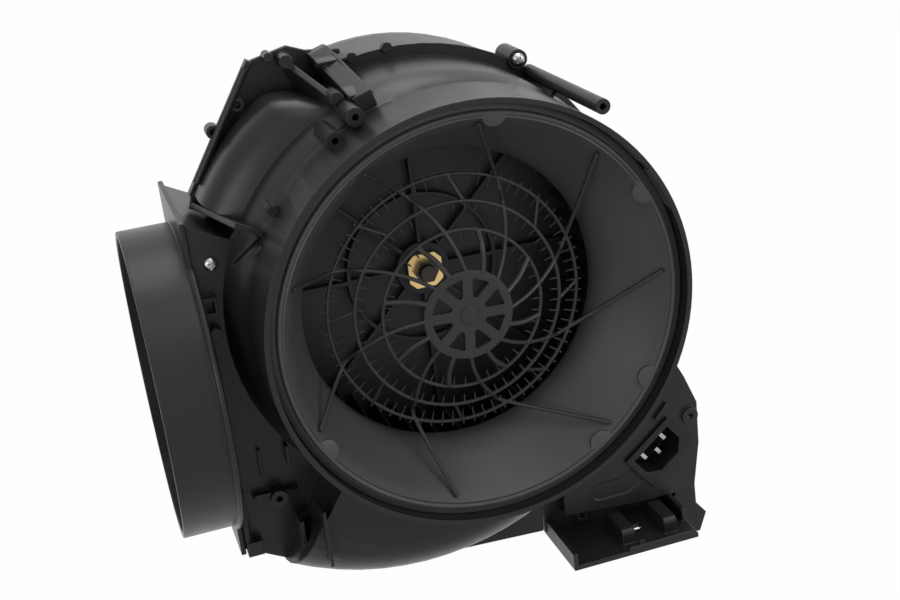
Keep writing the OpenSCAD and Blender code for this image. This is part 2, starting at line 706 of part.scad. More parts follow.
module outlet_collar() color(black) outlet() difference() {
    union() {
        outward(outlet_x, base_d) {
            circle(r = collar_r + base_over);
            neck_mouth(base_over);
        }
        outward(base_d - eps, base_d + collar_len) circle(r = collar_r);
    }
    outward(base_d, base_d + collar_len + eps) circle(r = collar_bore);
    outward(outlet_x - eps, base_d + eps) intersection() {
        circle(r = collar_bore);
        neck_mouth(-wall - 1);
    }
    translate([-flap_d, 0, -collar_bore - 2]) cylinder(r = pin_r + run, h = 2 * collar_bore + 4);
}

// Two half-round damper flaps share one upright pin
flap_clear = 0.8;
flap_root = 4.5;
knuckle_r = 2.9;
knuckle_len = 19.6;
knuckle_gap = 0.4;
function knuckle_z(k) = -60 + k * (knuckle_len + knuckle_gap) + (k > 1 ? 40 : 0);

module damper_flap(side, knuckles) outlet() translate([-flap_d, 0, 0]) difference() {
    union() {
        rotate([0, -90, 0]) translate([0, 0, -flap_t / 2]) linear_extrude(flap_t) intersection() {
            circle(r = collar_bore - flap_clear);
            translate([-collar_bore, side > 0 ? flap_root : -collar_bore - flap_root])
                square([2 * collar_bore, collar_bore]);
        }
        for (k = knuckles) translate([0, 0, knuckle_z(k)]) {
            cylinder(r = knuckle_r, h = knuckle_len);
            translate([-flap_t / 2, side > 0 ? 0 : -flap_root - 1, 0])
                cube([flap_t, flap_root + 1, knuckle_len]);
        }
    }
    translate([0, 0, -collar_bore]) cylinder(r = pin_r + run, h = 2 * collar_bore);
}
module damper_flap_front() color(dark) damper_flap(-1, [0, 2]);
module damper_flap_rear() color(dark) damper_flap(1, [1, 3]);
module damper_pin() color(steel) outlet() translate([-flap_d, 0, -collar_bore - 1.8])
    cylinder(r = pin_r, h = 2 * collar_bore + 3.6);

// Screws with a shank and a round head that faces the front
module screw(at, y_head, len, r, head_r, head_h) {
    post(at, y_head, y_head + len, r);
    post(at, y_head - head_h, y_head, head_r);
}
module housing_screws() color(zinc) fan()
    for (p = lug_places)
        screw(p, parting_y - lug_t, lug_t + screw_len - 1, screw_r, screw_head_r, screw_head_h);

module collar_screw() color(zinc) fan()
    screw(collar_screw_at, neck_y, wall + 3, screw_r, screw_head_r, screw_head_h);

// Impeller: a centre disc with a row of forward-curved blades on each side and two end rings
blade_r0 = impeller_r - blade_len;
blade_lean = 9;
boss_wall = 5;
hub_rib_count = 8;
hub_rib_h = 5;
hub_rib_t = 2;
hub_ring_r = 38;
// Mean line of a blade: its angle turns forward as the radius grows
function blade_angle(s) = blade_lean * s * s;
function blade_edge(side) = [for (i = [0:3])
    let (s = i / 3, r = blade_r0 + s * (blade_len - 0.5), a = blade_angle(s) + side * blade_t * 90 / (PI * r))
    r * dir(a)];
module blade() polygon(concat(blade_edge(-1), [for (i = [3:-1:0]) blade_edge(1)[i]]));
module blade_row(y0, y1) slab(y0, y1) for (k = [0:blade_count - 1]) rotate(360 * k / blade_count) blade();

module impeller() color(dark) fan() {
    tube(disc_y0, disc_y1, bush_r + run, impeller_r);
    tube(disc_y0 - 6, disc_y0, bush_r + run, bush_r + boss_wall);
    tube(impeller_y0, impeller_y0 + rim_t, blade_r0 + 3, impeller_r);
    tube(impeller_y1 - rim_t, impeller_y1, blade_r0 + 3, impeller_r);
    blade_row(impeller_y0 + rim_t - 1, disc_y0 + 1);
    blade_row(disc_y1 - 1, impeller_y1 - rim_t + 1);
    tube(disc_y0 - hub_rib_h, disc_y0, hub_ring_r, hub_ring_r + hub_rib_t);
    for (k = [0:hub_rib_count - 1]) radial(360 * k / hub_rib_count)
        translate([bush_r + boss_wall - 1, disc_y0 - hub_rib_h, -hub_rib_t / 2])
            cube([blade_r0 - bush_r - boss_wall, hub_rib_h, hub_rib_t]);
}
module hub_bush() color(steel) fan() tube(bush_y0, bush_y1, shaft_r + run, bush_r);

clip_side = 18;
clip_cut = 3.5;
module shaft_clip() color(brass) fan() slab(clip_y0, bush_y0) difference() {
    let (h = clip_side / 2)
        polygon([[-h, clip_cut - h], [clip_cut - h, -h], [h - clip_cut, -h], [h, clip_cut - h],
            [h, h - clip_cut], [h - clip_cut, h], [clip_cut - h, h], [-h, h - clip_cut]]);
    circle(r = shaft_r + run);
}
module shaft_nut() color(steel) fan() slab(nut_y0, clip_y0) difference() {
    circle(r = nut_r, $fn = 6);
    circle(r = shaft_r + run);
}
module motor_shaft() color(steel) fan() post([0, 0], shaft_y0, shaft_y1, shaft_r);
module rotor_stack() color(steel) fan() tube(stator_y0, stator_y1, shaft_r + run, rotor_r);

// Stator: a ring of teeth with a coil round each tooth
yoke_r = 40;
tooth_w = 6;
tooth_r = rotor_r + air_gap;
coil_r0 = tooth_r + 3;
coil_w = 2.4;
module stator_stack() color(steel) fan() slab(stator_y0, stator_y1) {
    difference() {
        circle(r = stator_r);
        circle(r = yoke_r);
    }
    difference() {
        for (k = [0:tooth_count - 1]) rotate(360 * k / tooth_count)
            translate([0, -tooth_w / 2]) square([yoke_r + 1, tooth_w]);
        circle(r = tooth_r);
    }
}
module stator_windings() color(copper) fan() for (k = [0:tooth_count - 1]) radial(360 * k / tooth_count)
    difference() {
        translate([coil_r0, stator_y0 - coil_h, -tooth_w / 2 - coil_w])
            cube([yoke_r - coil_r0 - 1, stator_len + 2 * coil_h, tooth_w + 2 * coil_w]);
        translate([coil_r0 - 1, stator_y0 - fit, -tooth_w / 2 - fit])
            cube([yoke_r, stator_len + 2 * fit, tooth_w + 2 * fit]);
    }

module bearing(y) color(zinc) fan() tube(y, y + bearing_len, shaft_r + run, bearing_r);
module front_bearing() bearing(bearing_y0);
module rear_bearing() bearing(bearing_y1);

// Motor shields: cups that hold the stator stack and the bearings
seat_wall = 2.5;
shield_lap = 9;
module motor_front_shield() color(zinc) fan() turn([
    [shaft_r + 2, front_shield_y], [stator_r + shield_wall, front_shield_y],
    [stator_r + shield_wall, stator_y0 + shield_lap], [stator_r + run, stator_y0 + shield_lap],
    [stator_r + run, bearing_y0], [bearing_r + seat_wall, bearing_y0],
    [bearing_r + seat_wall, bearing_y0 + bearing_len], [bearing_r + run, bearing_y0 + bearing_len],
    [bearing_r + run, bearing_y0], [shaft_r + 2, bearing_y0]]);
module motor_rear_shield() color(zinc) fan() difference() {
    turn([
        [0, rear_shield_y], [stator_r + shield_wall, rear_shield_y],
        [stator_r + shield_wall, stator_y1 - shield_lap], [stator_r + run, stator_y1 - shield_lap],
        [stator_r + run, rear_shield_y - shield_wall], [bearing_r + seat_wall, rear_shield_y - shield_wall],
        [bearing_r + seat_wall, bearing_y1], [bearing_r + run, bearing_y1],
        [bearing_r + run, rear_shield_y - shield_wall], [0, rear_shield_y - shield_wall]]);
    for (k = [0:2]) post(grommet_at(k), rear_shield_y - 5, rear_shield_y + eps, motor_screw_r + run);
}

// Carrier: a spider on the back wall that holds the motor by three rubber-mounted screws
carrier_arm_w = 12;
carrier_ring = 7;
carrier_mid_r = 62;
carrier_mid_w = 3;
post_r = 7;
post_gap = 8;
motor_screw_r = 2;
post_y = rear_shield_y + post_gap;
carrier_hole_r = back_bell_r - 1;
function grommet_at(k) = grommet_place * dir(90 + 120 * k);
module motor_carrier() color(dark) fan() difference() {
    union() {
        tube(back_y, back_y + carrier_t, carrier_hole_r, carrier_hole_r + carrier_ring);
        tube(back_y, back_y + carrier_t, grommet_place - post_r, grommet_place + post_r);
        for (k = [0:2]) {
            post(grommet_at(k), post_y, back_y + carrier_t, post_r);
            radial(90 + 120 * k) translate([grommet_place, back_y, -carrier_arm_w / 2])
                cube([carrier_hole_r + 2 - grommet_place, carrier_t, carrier_arm_w]);
        }
        tube(back_y, back_y + carrier_t, carrier_mid_r, carrier_mid_r + carrier_mid_w);
    }
    for (k = [0:2]) post(grommet_at(k), post_y - eps, back_y + carrier_t + eps, motor_screw_r + fit);
}
module motor_grommets() color(dark) fan() difference() {
    for (k = [0:2]) post(grommet_at(k), rear_shield_y, post_y, grommet_r);
    for (k = [0:2]) post(grommet_at(k), rear_shield_y - eps, post_y + eps, motor_screw_r + run);
}
module motor_screws() color(zinc) fan() for (k = [0:2]) {
    post(grommet_at(k), rear_shield_y - shield_wall, back_y + carrier_t, motor_screw_r);
    post(grommet_at(k), back_y + carrier_t, back_y + carrier_t + 3, 2 * motor_screw_r);
}

front_housing();
rear_housing();
bell_mouth();
inlet_guard();
pocket_frame();
connector_plate();
cable_tray();
power_inlet();
power_pins();
outlet_collar();
damper_flap_front();
damper_flap_rear();
damper_pin();
housing_screws();
collar_screw();
impeller();
hub_bush();
shaft_clip();
shaft_nut();
motor_shaft();
rotor_stack();
stator_stack();
stator_windings();
front_bearing();
rear_bearing();
motor_front_shield();
motor_rear_shield();
motor_carrier();
motor_grommets();
motor_screws();
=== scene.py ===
"""Looks of a double-inlet range hood blower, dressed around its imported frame.

Sizes in the classes below are in millimetres, and become metres where a mesh is made. The frame's origin is
the centre of the inlet ring's front face, +Y runs to the back and +Z is up.
"""

from __future__ import annotations

import json
import logging
import math
from dataclasses import dataclass, field
from enum import Enum

import bmesh
import bpy
from mathutils import Matrix, Vector

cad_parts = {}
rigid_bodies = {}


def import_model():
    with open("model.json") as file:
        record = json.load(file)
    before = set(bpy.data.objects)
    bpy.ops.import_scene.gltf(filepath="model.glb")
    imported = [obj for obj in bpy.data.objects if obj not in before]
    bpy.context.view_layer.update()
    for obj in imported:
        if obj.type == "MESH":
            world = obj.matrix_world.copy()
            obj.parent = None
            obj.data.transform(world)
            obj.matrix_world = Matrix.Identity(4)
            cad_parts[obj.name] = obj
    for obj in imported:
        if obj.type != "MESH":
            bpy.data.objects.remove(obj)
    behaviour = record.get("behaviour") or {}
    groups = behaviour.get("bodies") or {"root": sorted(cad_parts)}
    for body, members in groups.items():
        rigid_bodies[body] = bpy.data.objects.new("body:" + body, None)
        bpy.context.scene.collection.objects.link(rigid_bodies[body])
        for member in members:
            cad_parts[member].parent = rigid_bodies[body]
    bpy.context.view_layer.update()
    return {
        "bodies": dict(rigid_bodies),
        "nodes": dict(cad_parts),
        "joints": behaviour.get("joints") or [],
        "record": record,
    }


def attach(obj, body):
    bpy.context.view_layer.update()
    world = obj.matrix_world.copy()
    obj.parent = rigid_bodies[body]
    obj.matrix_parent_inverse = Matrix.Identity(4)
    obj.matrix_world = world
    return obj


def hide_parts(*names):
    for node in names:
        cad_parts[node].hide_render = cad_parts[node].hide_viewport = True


log = logging.getLogger("blower")
Shape = bmesh.types.BMesh
Point = tuple[float, float, float]
MM = 0.001
# Place of the fan's axis from the inlet ring's centre
FAN_X = -5.8
FAN_Z = 1.1
FULL_TURN = 2 * math.pi
# Lays a shape that is made along Z down along Y
LAY_DOWN = Matrix.Rotation(math.pi / 2, 4, "X")
# Angle between two faces, in radians, past which their edge is a rim
RIM_ANGLE = 1.0
# Faces across a soft edge
SOFT_STEPS = 2
# Distance within which points of one shape are the same point
SAME_POINT = 0.001


class Body(Enum):
    """Bodies of the frame that pieces ride on."""

    HOUSING = "housing"
    FAN = "fan"
    FLAP_FRONT = "flap_front"
    FLAP_REAR = "flap_rear"


class Slot(Enum):
    """Material slots of the record."""

    BLACK = "black_plastic"
    DARK = "dark_plastic"
    ZINC = "zinc_steel"
    STEEL = "plain_steel"
    ALUMINIUM = "cast_aluminium"
    BRASS = "brass"
    COPPER = "copper_wire"
    RUBBER = "rubber"


def math_node(tree: bpy.types.NodeTree, operation: str,
              *values: float | bpy.types.NodeSocket) -> bpy.types.NodeSocket:
    """Add a math node to a shader tree.

    Args:
        tree: The tree that it is added to.
        operation: What it works out.
        values: Its inputs, each a number or the socket that feeds it.

    Returns:
        The socket of its result.
    """
    node = tree.nodes.new("ShaderNodeMath")
    node.operation = operation
    for socket, value in zip(node.inputs, values):
        if isinstance(value, bpy.types.NodeSocket):
            tree.links.new(value, socket)
        else:
            socket.default_value = value
    return node.outputs[0]


class MouldGrain:
    """Shader group of a moulded skin: fine spark grain, slow tone drift and a matt haze."""

    NAME = "MouldGrain"
    DRIFT_SCALE = 26.0
    DRIFT_DETAIL = 3.0
    HAZE_SCALE = 90.0
    HAZE_DETAIL = 4.0
    GRAIN_DETAIL = 2.0
    NOISE_MIDDLE = 0.5

    @classmethod
    def get(cls) -> bpy.types.NodeTree:
        """Build the group once.

        Returns:
            The node group with inputs Tone, Drift, Roughness, Haze and Grain Scale.
        """
        if cls.NAME in bpy.data.node_groups:
            return bpy.data.node_groups[cls.NAME]
        tree = bpy.data.node_groups.new(cls.NAME, "ShaderNodeTree")
        cls._sockets(tree.interface)
        nodes, links = tree.nodes, tree.links
        inner = nodes.new("NodeGroupInput")
        outer = nodes.new("NodeGroupOutput")
        place = nodes.new("ShaderNodeTexCoord").outputs["Object"]
        slow = cls._noise(tree, place, cls.DRIFT_DETAIL)
        slow.inputs["Scale"].default_value = cls.DRIFT_SCALE
        haze = cls._noise(tree, place, cls.HAZE_DETAIL)
        haze.inputs["Scale"].default_value = cls.HAZE_SCALE
        grain = cls._noise(tree, place, cls.GRAIN_DETAIL)
        links.new(inner.outputs["Grain Scale"], grain.inputs["Scale"])
        drift = cls._around_zero(tree, slow, inner.outputs["Drift"])
        tone = nodes.new("ShaderNodeVectorMath")
        tone.operation = "SCALE"
        links.new(inner.outputs["Tone"], tone.inputs[0])
        links.new(math_node(tree, "ADD", 1.0, drift), tone.inputs["Scale"])
        links.new(tone.outputs[0], outer.inputs["Color"])
        matt = cls._around_zero(tree, haze, inner.outputs["Haze"])
        links.new(math_node(tree, "ADD", inner.outputs["Roughness"], matt), outer.inputs["Roughness"])
        links.new(grain.outputs["Fac"], outer.inputs["Height"])
        return tree

    @staticmethod
    def _sockets(face: bpy.types.NodeTreeInterface) -> None:
        """Make the group's named inputs and outputs.

        Args:
            face: The interface of the group.
        """
        rows = [("Tone", "INPUT", "NodeSocketColor")]
        rows += [(name, "INPUT", "NodeSocketFloat") for name in ("Drift", "Roughness", "Haze", "Grain Scale")]
        rows += [("Color", "OUTPUT", "NodeSocketColor")]
        rows += [(name, "OUTPUT", "NodeSocketFloat") for name in ("Roughness", "Height")]
        for name, way, kind in rows:
            face.new_socket(name, in_out=way, socket_type=kind)

    @staticmethod
    def _noise(tree: bpy.types.NodeTree, place: bpy.types.NodeSocket, detail: float) -> bpy.types.Node:
        """Add a noise texture.

        Args:
            tree: The tree that it is added to.
            place: The coordinates that it reads.
            detail: Its detail.

        Returns:
            The node, with its scale still to set.
        """
        node = tree.nodes.new("ShaderNodeTexNoise")
        node.inputs["Detail"].default_value = detail
        tree.links.new(place, node.inputs["Vector"])
        return node

    @classmethod
    def _around_zero(cls, tree: bpy.types.NodeTree, noise: bpy.types.Node,
                     amount: bpy.types.NodeSocket) -> bpy.types.NodeSocket:
        """Noise that swings about zero, times an amount."""
        shift = math_node(tree, "SUBTRACT", noise.outputs["Fac"], cls.NOISE_MIDDLE)
        return math_node(tree, "MULTIPLY", shift, amount)


@dataclass(frozen=True)
class Finish:
    """One surface finish, made into a material on first use.

    Attributes:
        name: Name of the material.
        tone: Linear base colour.
        roughness: Middle roughness.
        metallic: 1 for bare metal.
        drift: Share by which the tone drifts over the piece.
        haze: Swing of the roughness.
        grain_scale: Grains per metre.
        grain_depth: Depth of the grain in millimetres.
        specular: Specular level of the skin.
        edge: Radius that edges catch the light on, in millimetres.
        edge_samples: How finely those edges are worked out.
        grain_strength: Share of the grain that shows.
    """

    name: str
    tone: Point
    roughness: float
    metallic: float = 0.0
    drift: float = 0.35
    haze: float = 0.14
    grain_scale: float = 1500.0
    grain_depth: float = 0.05
    specular: float = 0.25
    edge: float = 0.6
    edge_samples: int = 4
    grain_strength: float = 0.6

    def material(self) -> bpy.types.Material:
        """Build the material once.

        Returns:
            The material.
        """
        if self.name in bpy.data.materials:
            return bpy.data.materials[self.name]
        made = bpy.data.materials.new(self.name)
        made.use_nodes = True
        nodes, links = made.node_tree.nodes, made.node_tree.links
        skin = nodes["Principled BSDF"]
        skin.inputs["Metallic"].default_value = self.metallic
        skin.inputs["Specular IOR Level"].default_value = self.specular
        group = nodes.new("ShaderNodeGroup")
        group.node_tree = MouldGrain.get()
        group.inputs["Tone"].default_value = (*self.tone, 1.0)
        group.inputs["Drift"].default_value = self.drift
        group.inputs["Roughness"].default_value = self.roughness
        group.inputs["Haze"].default_value = self.haze
        group.inputs["Grain Scale"].default_value = self.grain_scale
        bump = nodes.new("ShaderNodeBump")
        bump.inputs["Strength"].default_value = self.grain_strength
        bump.inputs["Distance"].default_value = self.grain_depth * MM
        rounded = nodes.new("ShaderNodeBevel")
        rounded.samples = self.edge_samples
        rounded.inputs["Radius"].default_value = self.edge * MM
        links.new(rounded.outputs["Normal"], bump.inputs["Normal"])
        links.new(group.outputs["Color"], skin.inputs["Base Color"])
        links.new(group.outputs["Roughness"], skin.inputs["Roughness"])
        links.new(group.outputs["Height"], bump.inputs["Height"])
        links.new(bump.outputs["Normal"], skin.inputs["Normal"])
        return made


class Finishes:
    """The finishes of this blower."""

    SHELL = Finish("moulded_black_shell", (0.0125, 0.0128, 0.013), 0.34)
    # The bell's black moulding, drawn four times lighter than the shell's. The extra tone is painted light
    # from the front falling into the bell.
    BELL_PAINTED_LIGHT = Finish("moulded_black_bell_painted_light", (0.05, 0.05, 0.0492), 0.38)
    GUARD = Finish("moulded_black_guard", (0.022, 0.0222, 0.0222), 0.42)
    DARK = Finish("moulded_dark_trim", (0.008, 0.0081, 0.0083), 0.4)
    WHEEL = Finish("moulded_wheel", (0.007, 0.007, 0.0071), 0.45, specular=0.4)
    RUBBER = Finish("soft_rubber", (0.014, 0.014, 0.014), 0.75, drift=0.3, haze=0.1, grain_scale=1000.0)
    # What all bare metals share, and the fine grain of turned and stamped ones
    METAL = {"metallic": 1.0, "haze": 0.2}
    FINE = {"grain_scale": 3000.0, "grain_depth": 0.02}
    ZINC = Finish("zinc_plate", (0.4, 0.41, 0.42), 0.3, drift=0.2, edge=0.15, **METAL, **FINE)
    STEEL = Finish("plain_steel_turned", (0.32, 0.32, 0.33), 0.34, drift=0.25, edge=0.2, **METAL, **FINE)
    BLACKENED = Finish("blackened_steel", (0.06, 0.055, 0.05), 0.4, drift=0.25, edge=0.2, **METAL, **FINE)
    BRASS = Finish("brass_stamped", (0.95, 0.68, 0.3), 0.36, drift=0.3, edge=0.2, grain_scale=2500.0,
                   grain_depth=0.02, **METAL)
    CAST = Finish("cast_alloy", (0.5, 0.5, 0.51), 0.45, drift=0.2, grain_scale=1200.0,
                  grain_depth=0.06, **METAL)
    COPPER = Finish("enamelled_copper", (0.55, 0.2, 0.07), 0.35, drift=0.3, grain_scale=900.0,
                    grain_depth=0.1, **METAL)

    BY_SLOT = {
        Slot.BLACK: SHELL,
        Slot.DARK: DARK,
        Slot.ZINC: ZINC,
        Slot.STEEL: STEEL,
        Slot.ALUMINIUM: CAST,
        Slot.BRASS: BRASS,
        Slot.COPPER: COPPER,
        Slot.RUBBER: RUBBER,
    }
    # Nodes whose finish isn't the one of their slot
    BY_NODE = {"shaft_nut": BLACKENED, "motor_shaft": BLACKENED, "impeller": WHEEL}

    @classmethod
    def of(cls, node: str, slot: Slot) -> Finish:
        """Finish of a node: its own, or else its slot's."""
        return cls.BY_NODE.get(node, cls.BY_SLOT[slot])


def dress(piece: bpy.types.Object, finish: Finish) -> None:
    """Give a piece one finish all over."""
    piece.data.materials.clear()
    piece.data.materials.append(finish.material())


def slots_of(frame: dict) -> dict[str, Slot]:
    """Material slot of each node of the frame."""
    return {row["node"]: Slot(row["material_slot"]) for row in frame["record"]["subparts"]}


def polar(radius: float, degrees: float, depth: float, share: float = 0.0) -> Vector:
    """Point round an axis along Y.

    Args:
        radius: Its distance from the axis.
        degrees: Its angle, from +X towards +Z.
        depth: Its place along Y.
        share: Where the axis lies: 0 is the inlet ring's, 1 is the fan's.

    Returns:
        The point.
    """
    angle = math.radians(degrees)
    return Vector((share * FAN_X + radius * math.cos(angle), depth, share * FAN_Z + radius * math.sin(angle)))


def smooth_path(points: list[Vector], steps: int) -> list[Vector]:
    """Smooth curve through a few points.

    Args:
        points: The points it passes through.
        steps: How many stretches lie between two of them.

    Returns:
        The points of the curve.
    """
    ends = [2 * points[0] - points[1], *points, 2 * points[-1] - points[-2]]
    path = []
    for a, b, c, d in zip(ends, ends[1:], ends[2:], ends[3:]):
        for step in range(steps):
            t = step / steps
            bend = (2 * a - 5 * b + 4 * c - d) * t * t + (3 * b - a - 3 * c + d) * t ** 3
            path.append(0.5 * (2 * b + (c - a) * t + bend))
    return [*path, points[-1]]


def edges_of(verts: list[bmesh.types.BMVert]) -> set[bmesh.types.BMEdge]:
    """Edges that touch some vertices."""
    return {edge for vert in verts for edge in vert.link_edges}


def rims_of(verts: list[bmesh.types.BMVert]) -> set[bmesh.types.BMEdge]:
    """Edges of some vertices at which two faces meet at a steep angle."""
    return {edge for edge in edges_of(verts) if edge.calc_face_angle(0.0) > RIM_ANGLE}


def soften(shape: Shape, edges: set[bmesh.types.BMEdge], width: float) -> None:
    """Round some edges of a shape by a width."""
    bmesh.ops.bevel(shape, geom=list(edges), offset=width, affect="EDGES", segments=SOFT_STEPS, profile=0.5,
                    material=-1)


def sweep(shape: Shape, path: list[Vector], radii: list[float], sides: int = 8) -> None:
    """Round bar along a path.

    Args:
        shape: The mesh to add to.
        path: Points of the bar's middle line.
        radii: Radius at each point.
        sides: Sides of the bar.
    """
    last = len(path) - 1
    before = None
    for i, place in enumerate(path):
        ahead = path[min(i + 1, last)] - path[max(i - 1, 0)]
        turn = ahead.to_track_quat("Z", "Y").to_matrix().to_4x4()
        made = bmesh.ops.create_circle(shape, segments=sides, radius=radii[i], cap_ends=i in (0, last),
                                       matrix=Matrix.Translation(place) @ turn)
        loop = edges_of(made["verts"])
        if before is not None:
            bmesh.ops.bridge_loops(shape, edges=list(before | loop))
        before = loop


def hoop(shape: Shape, start: Vector, bar: float, sides: int, centre: Point, axis: Point, steps: int) -> None:
    """Round bar bent to a full ring.

    Args:
        shape: The mesh to add to.
        start: Middle of the bar where the ring starts, in line with its centre along X or Y.
        bar: Radius of the bar.
        sides: Its sides.
        centre: Middle of the ring.
        axis: Axis of the ring.
        steps: How many stretches the ring has.
    """
    made = bmesh.ops.create_circle(shape, segments=sides, radius=bar, matrix=Matrix.Translation(start))
    bmesh.ops.spin(shape, geom=[*made["verts"], *edges_of(made["verts"])], cent=centre, axis=axis,
                   angle=FULL_TURN, steps=steps, use_merge=True)


def drum(shape: Shape, place: Vector, radius: float, length: float, sides: int, soft: float) -> None:
    """Round block along +Y with soft edges.

    Args:
        shape: The mesh to add to.
        place: Middle of its front face.
        radius: Its radius.
        length: Its length.
        sides: Its sides.
        soft: Width of its soft edges.
    """
    middle = Matrix.Translation(place + Vector((0.0, length / 2, 0.0)))
    made = bmesh.ops.create_cone(shape, cap_ends=True, segments=sides, radius1=radius, radius2=radius,
                                 depth=length, matrix=middle @ LAY_DOWN)
    soften(shape, rims_of(made["verts"]), soft)


def block(shape: Shape, low: Vector, high: Vector, soft: float) -> list[bmesh.types.BMVert]:
    """Square block with soft edges.

    Args:
        shape: The mesh to add to.
        low: Its lowest corner.
        high: Its highest corner.
        soft: Width of its soft edges.

    Returns:
        The block's own vertices.
    """
    old = set(shape.verts)
    made = bmesh.ops.create_cube(shape, size=1.0)
    bmesh.ops.scale(shape, verts=made["verts"], vec=high - low)
    bmesh.ops.translate(shape, verts=made["verts"], vec=(low + high) / 2)
    soften(shape, edges_of(made["verts"]), soft)
    return [vert for vert in shape.verts if vert not in old]


def to_mesh(name: str, shape: Shape, sharp: float = 35.0) -> bpy.types.Mesh:
    """Turn a millimetre shape into a smooth-shaded mesh in metres.

    Args:
        name: Name of the mesh.
        shape: The shape, which is freed.
        sharp: Angle past which an edge stays sharp, in degrees.

    Returns:
        The mesh.
    """
    bmesh.ops.recalc_face_normals(shape, faces=shape.faces)
    bmesh.ops.scale(shape, vec=(MM, MM, MM), verts=shape.verts)
    mesh = bpy.data.meshes.new(name)
    shape.to_mesh(mesh)
    shape.free()
    mesh.shade_smooth()
    mesh.set_sharp_from_angle(angle=math.radians(sharp))
    return mesh


def place_piece(name: str, mesh: bpy.types.Mesh, body: Body, finish: Finish) -> bpy.types.Object:
    """Put a mesh in the scene as a piece of one body.

    Args:
        name: Name of the piece.
        mesh: Its mesh, in place.
        body: The body that it rides on.
        finish: Its finish.

    Returns:
        The piece.
    """
    piece = bpy.data.objects.new(name, mesh)
    bpy.context.scene.collection.objects.link(piece)
    dress(piece, finish)
    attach(piece, body.value)
    log.info("made %s, %d faces", name, len(mesh.polygons))
    return piece


def shell_piece(name: str, shape: Shape) -> None:
    """Put a millimetre shape in the scene as a piece of the housing's black shell."""
    place_piece(name, to_mesh(name, shape), Body.HOUSING, Finishes.SHELL)


def carve(name: str, solid: Shape, cutter: Shape) -> Shape:
    """Cut one millimetre shape out of another.

    Args:
        name: Name of the scratch meshes.
        solid: The shape that is cut, which is freed.
        cutter: The shape that cuts, which is freed.

    Returns:
        What is left of the solid.
    """
    objects = []
    for part, shape in (("solid", solid), ("cutter", cutter)):
        bmesh.ops.recalc_face_normals(shape, faces=shape.faces)
        mesh = bpy.data.meshes.new(f"{name}_{part}")
        shape.to_mesh(mesh)
        shape.free()
        thing = bpy.data.objects.new(mesh.name, mesh)
        bpy.context.scene.collection.objects.link(thing)
        objects.append(thing)
    cut = objects[0].modifiers.new("cut", "BOOLEAN")
    cut.operation = "DIFFERENCE"
    cut.solver = "MANIFOLD"
    cut.object = objects[1]
    done = objects[0].evaluated_get(bpy.context.evaluated_depsgraph_get()).to_mesh()
    left = bmesh.new()
    left.from_mesh(done)
    for thing in objects:
        mesh = thing.data
        bpy.data.objects.remove(thing)
        bpy.data.meshes.remove(mesh)
    return left


def add_shape(shape: Shape, more: Shape) -> None:
    """Add one shape to another.

    Args:
        shape: The shape that grows.
        more: The shape that is added and freed.
    """
    made = bpy.data.meshes.new("more")
    more.to_mesh(made)
    more.free()
    shape.from_mesh(made)
    bpy.data.meshes.remove(made)


@dataclass
class PhotoCamera:
    """Camera at the photograph's place, with its turn about each axis in degrees."""

    place: Point = (-174.6, -569.2, 246.2)
    azimuth: float = 15.49
    elevation: float = 21.41
    roll: float = 6.79
    lens: float = 56.0
    sensor: float = 36.0
    nearest: float = 10.0

    def build(self) -> None:
        """Create the camera and make it the scene's own."""
        azimuth, elevation, roll = (math.radians(v) for v in (self.azimuth, self.elevation, self.roll))
        back = Vector((-math.sin(azimuth) * math.cos(elevation), -math.cos(azimuth) * math.cos(elevation),
                       math.sin(elevation)))
        level = Vector((math.cos(azimuth), -math.sin(azimuth), 0.0))
        rise = back.cross(level)
        right = level * math.cos(roll) - rise * math.sin(roll)
        up = rise * math.cos(roll) + level * math.sin(roll)
        data = bpy.data.cameras.new("photo_camera")
        data.lens = self.lens
        data.sensor_width = self.sensor
        data.clip_start = self.nearest * MM
        camera = bpy.data.objects.new("photo_camera", data)
        axes = Matrix((right, up, back)).transposed().to_4x4()
        camera.matrix_world = Matrix.Translation(Vector(self.place) * MM) @ axes
        bpy.context.scene.collection.objects.link(camera)
        bpy.context.scene.camera = camera


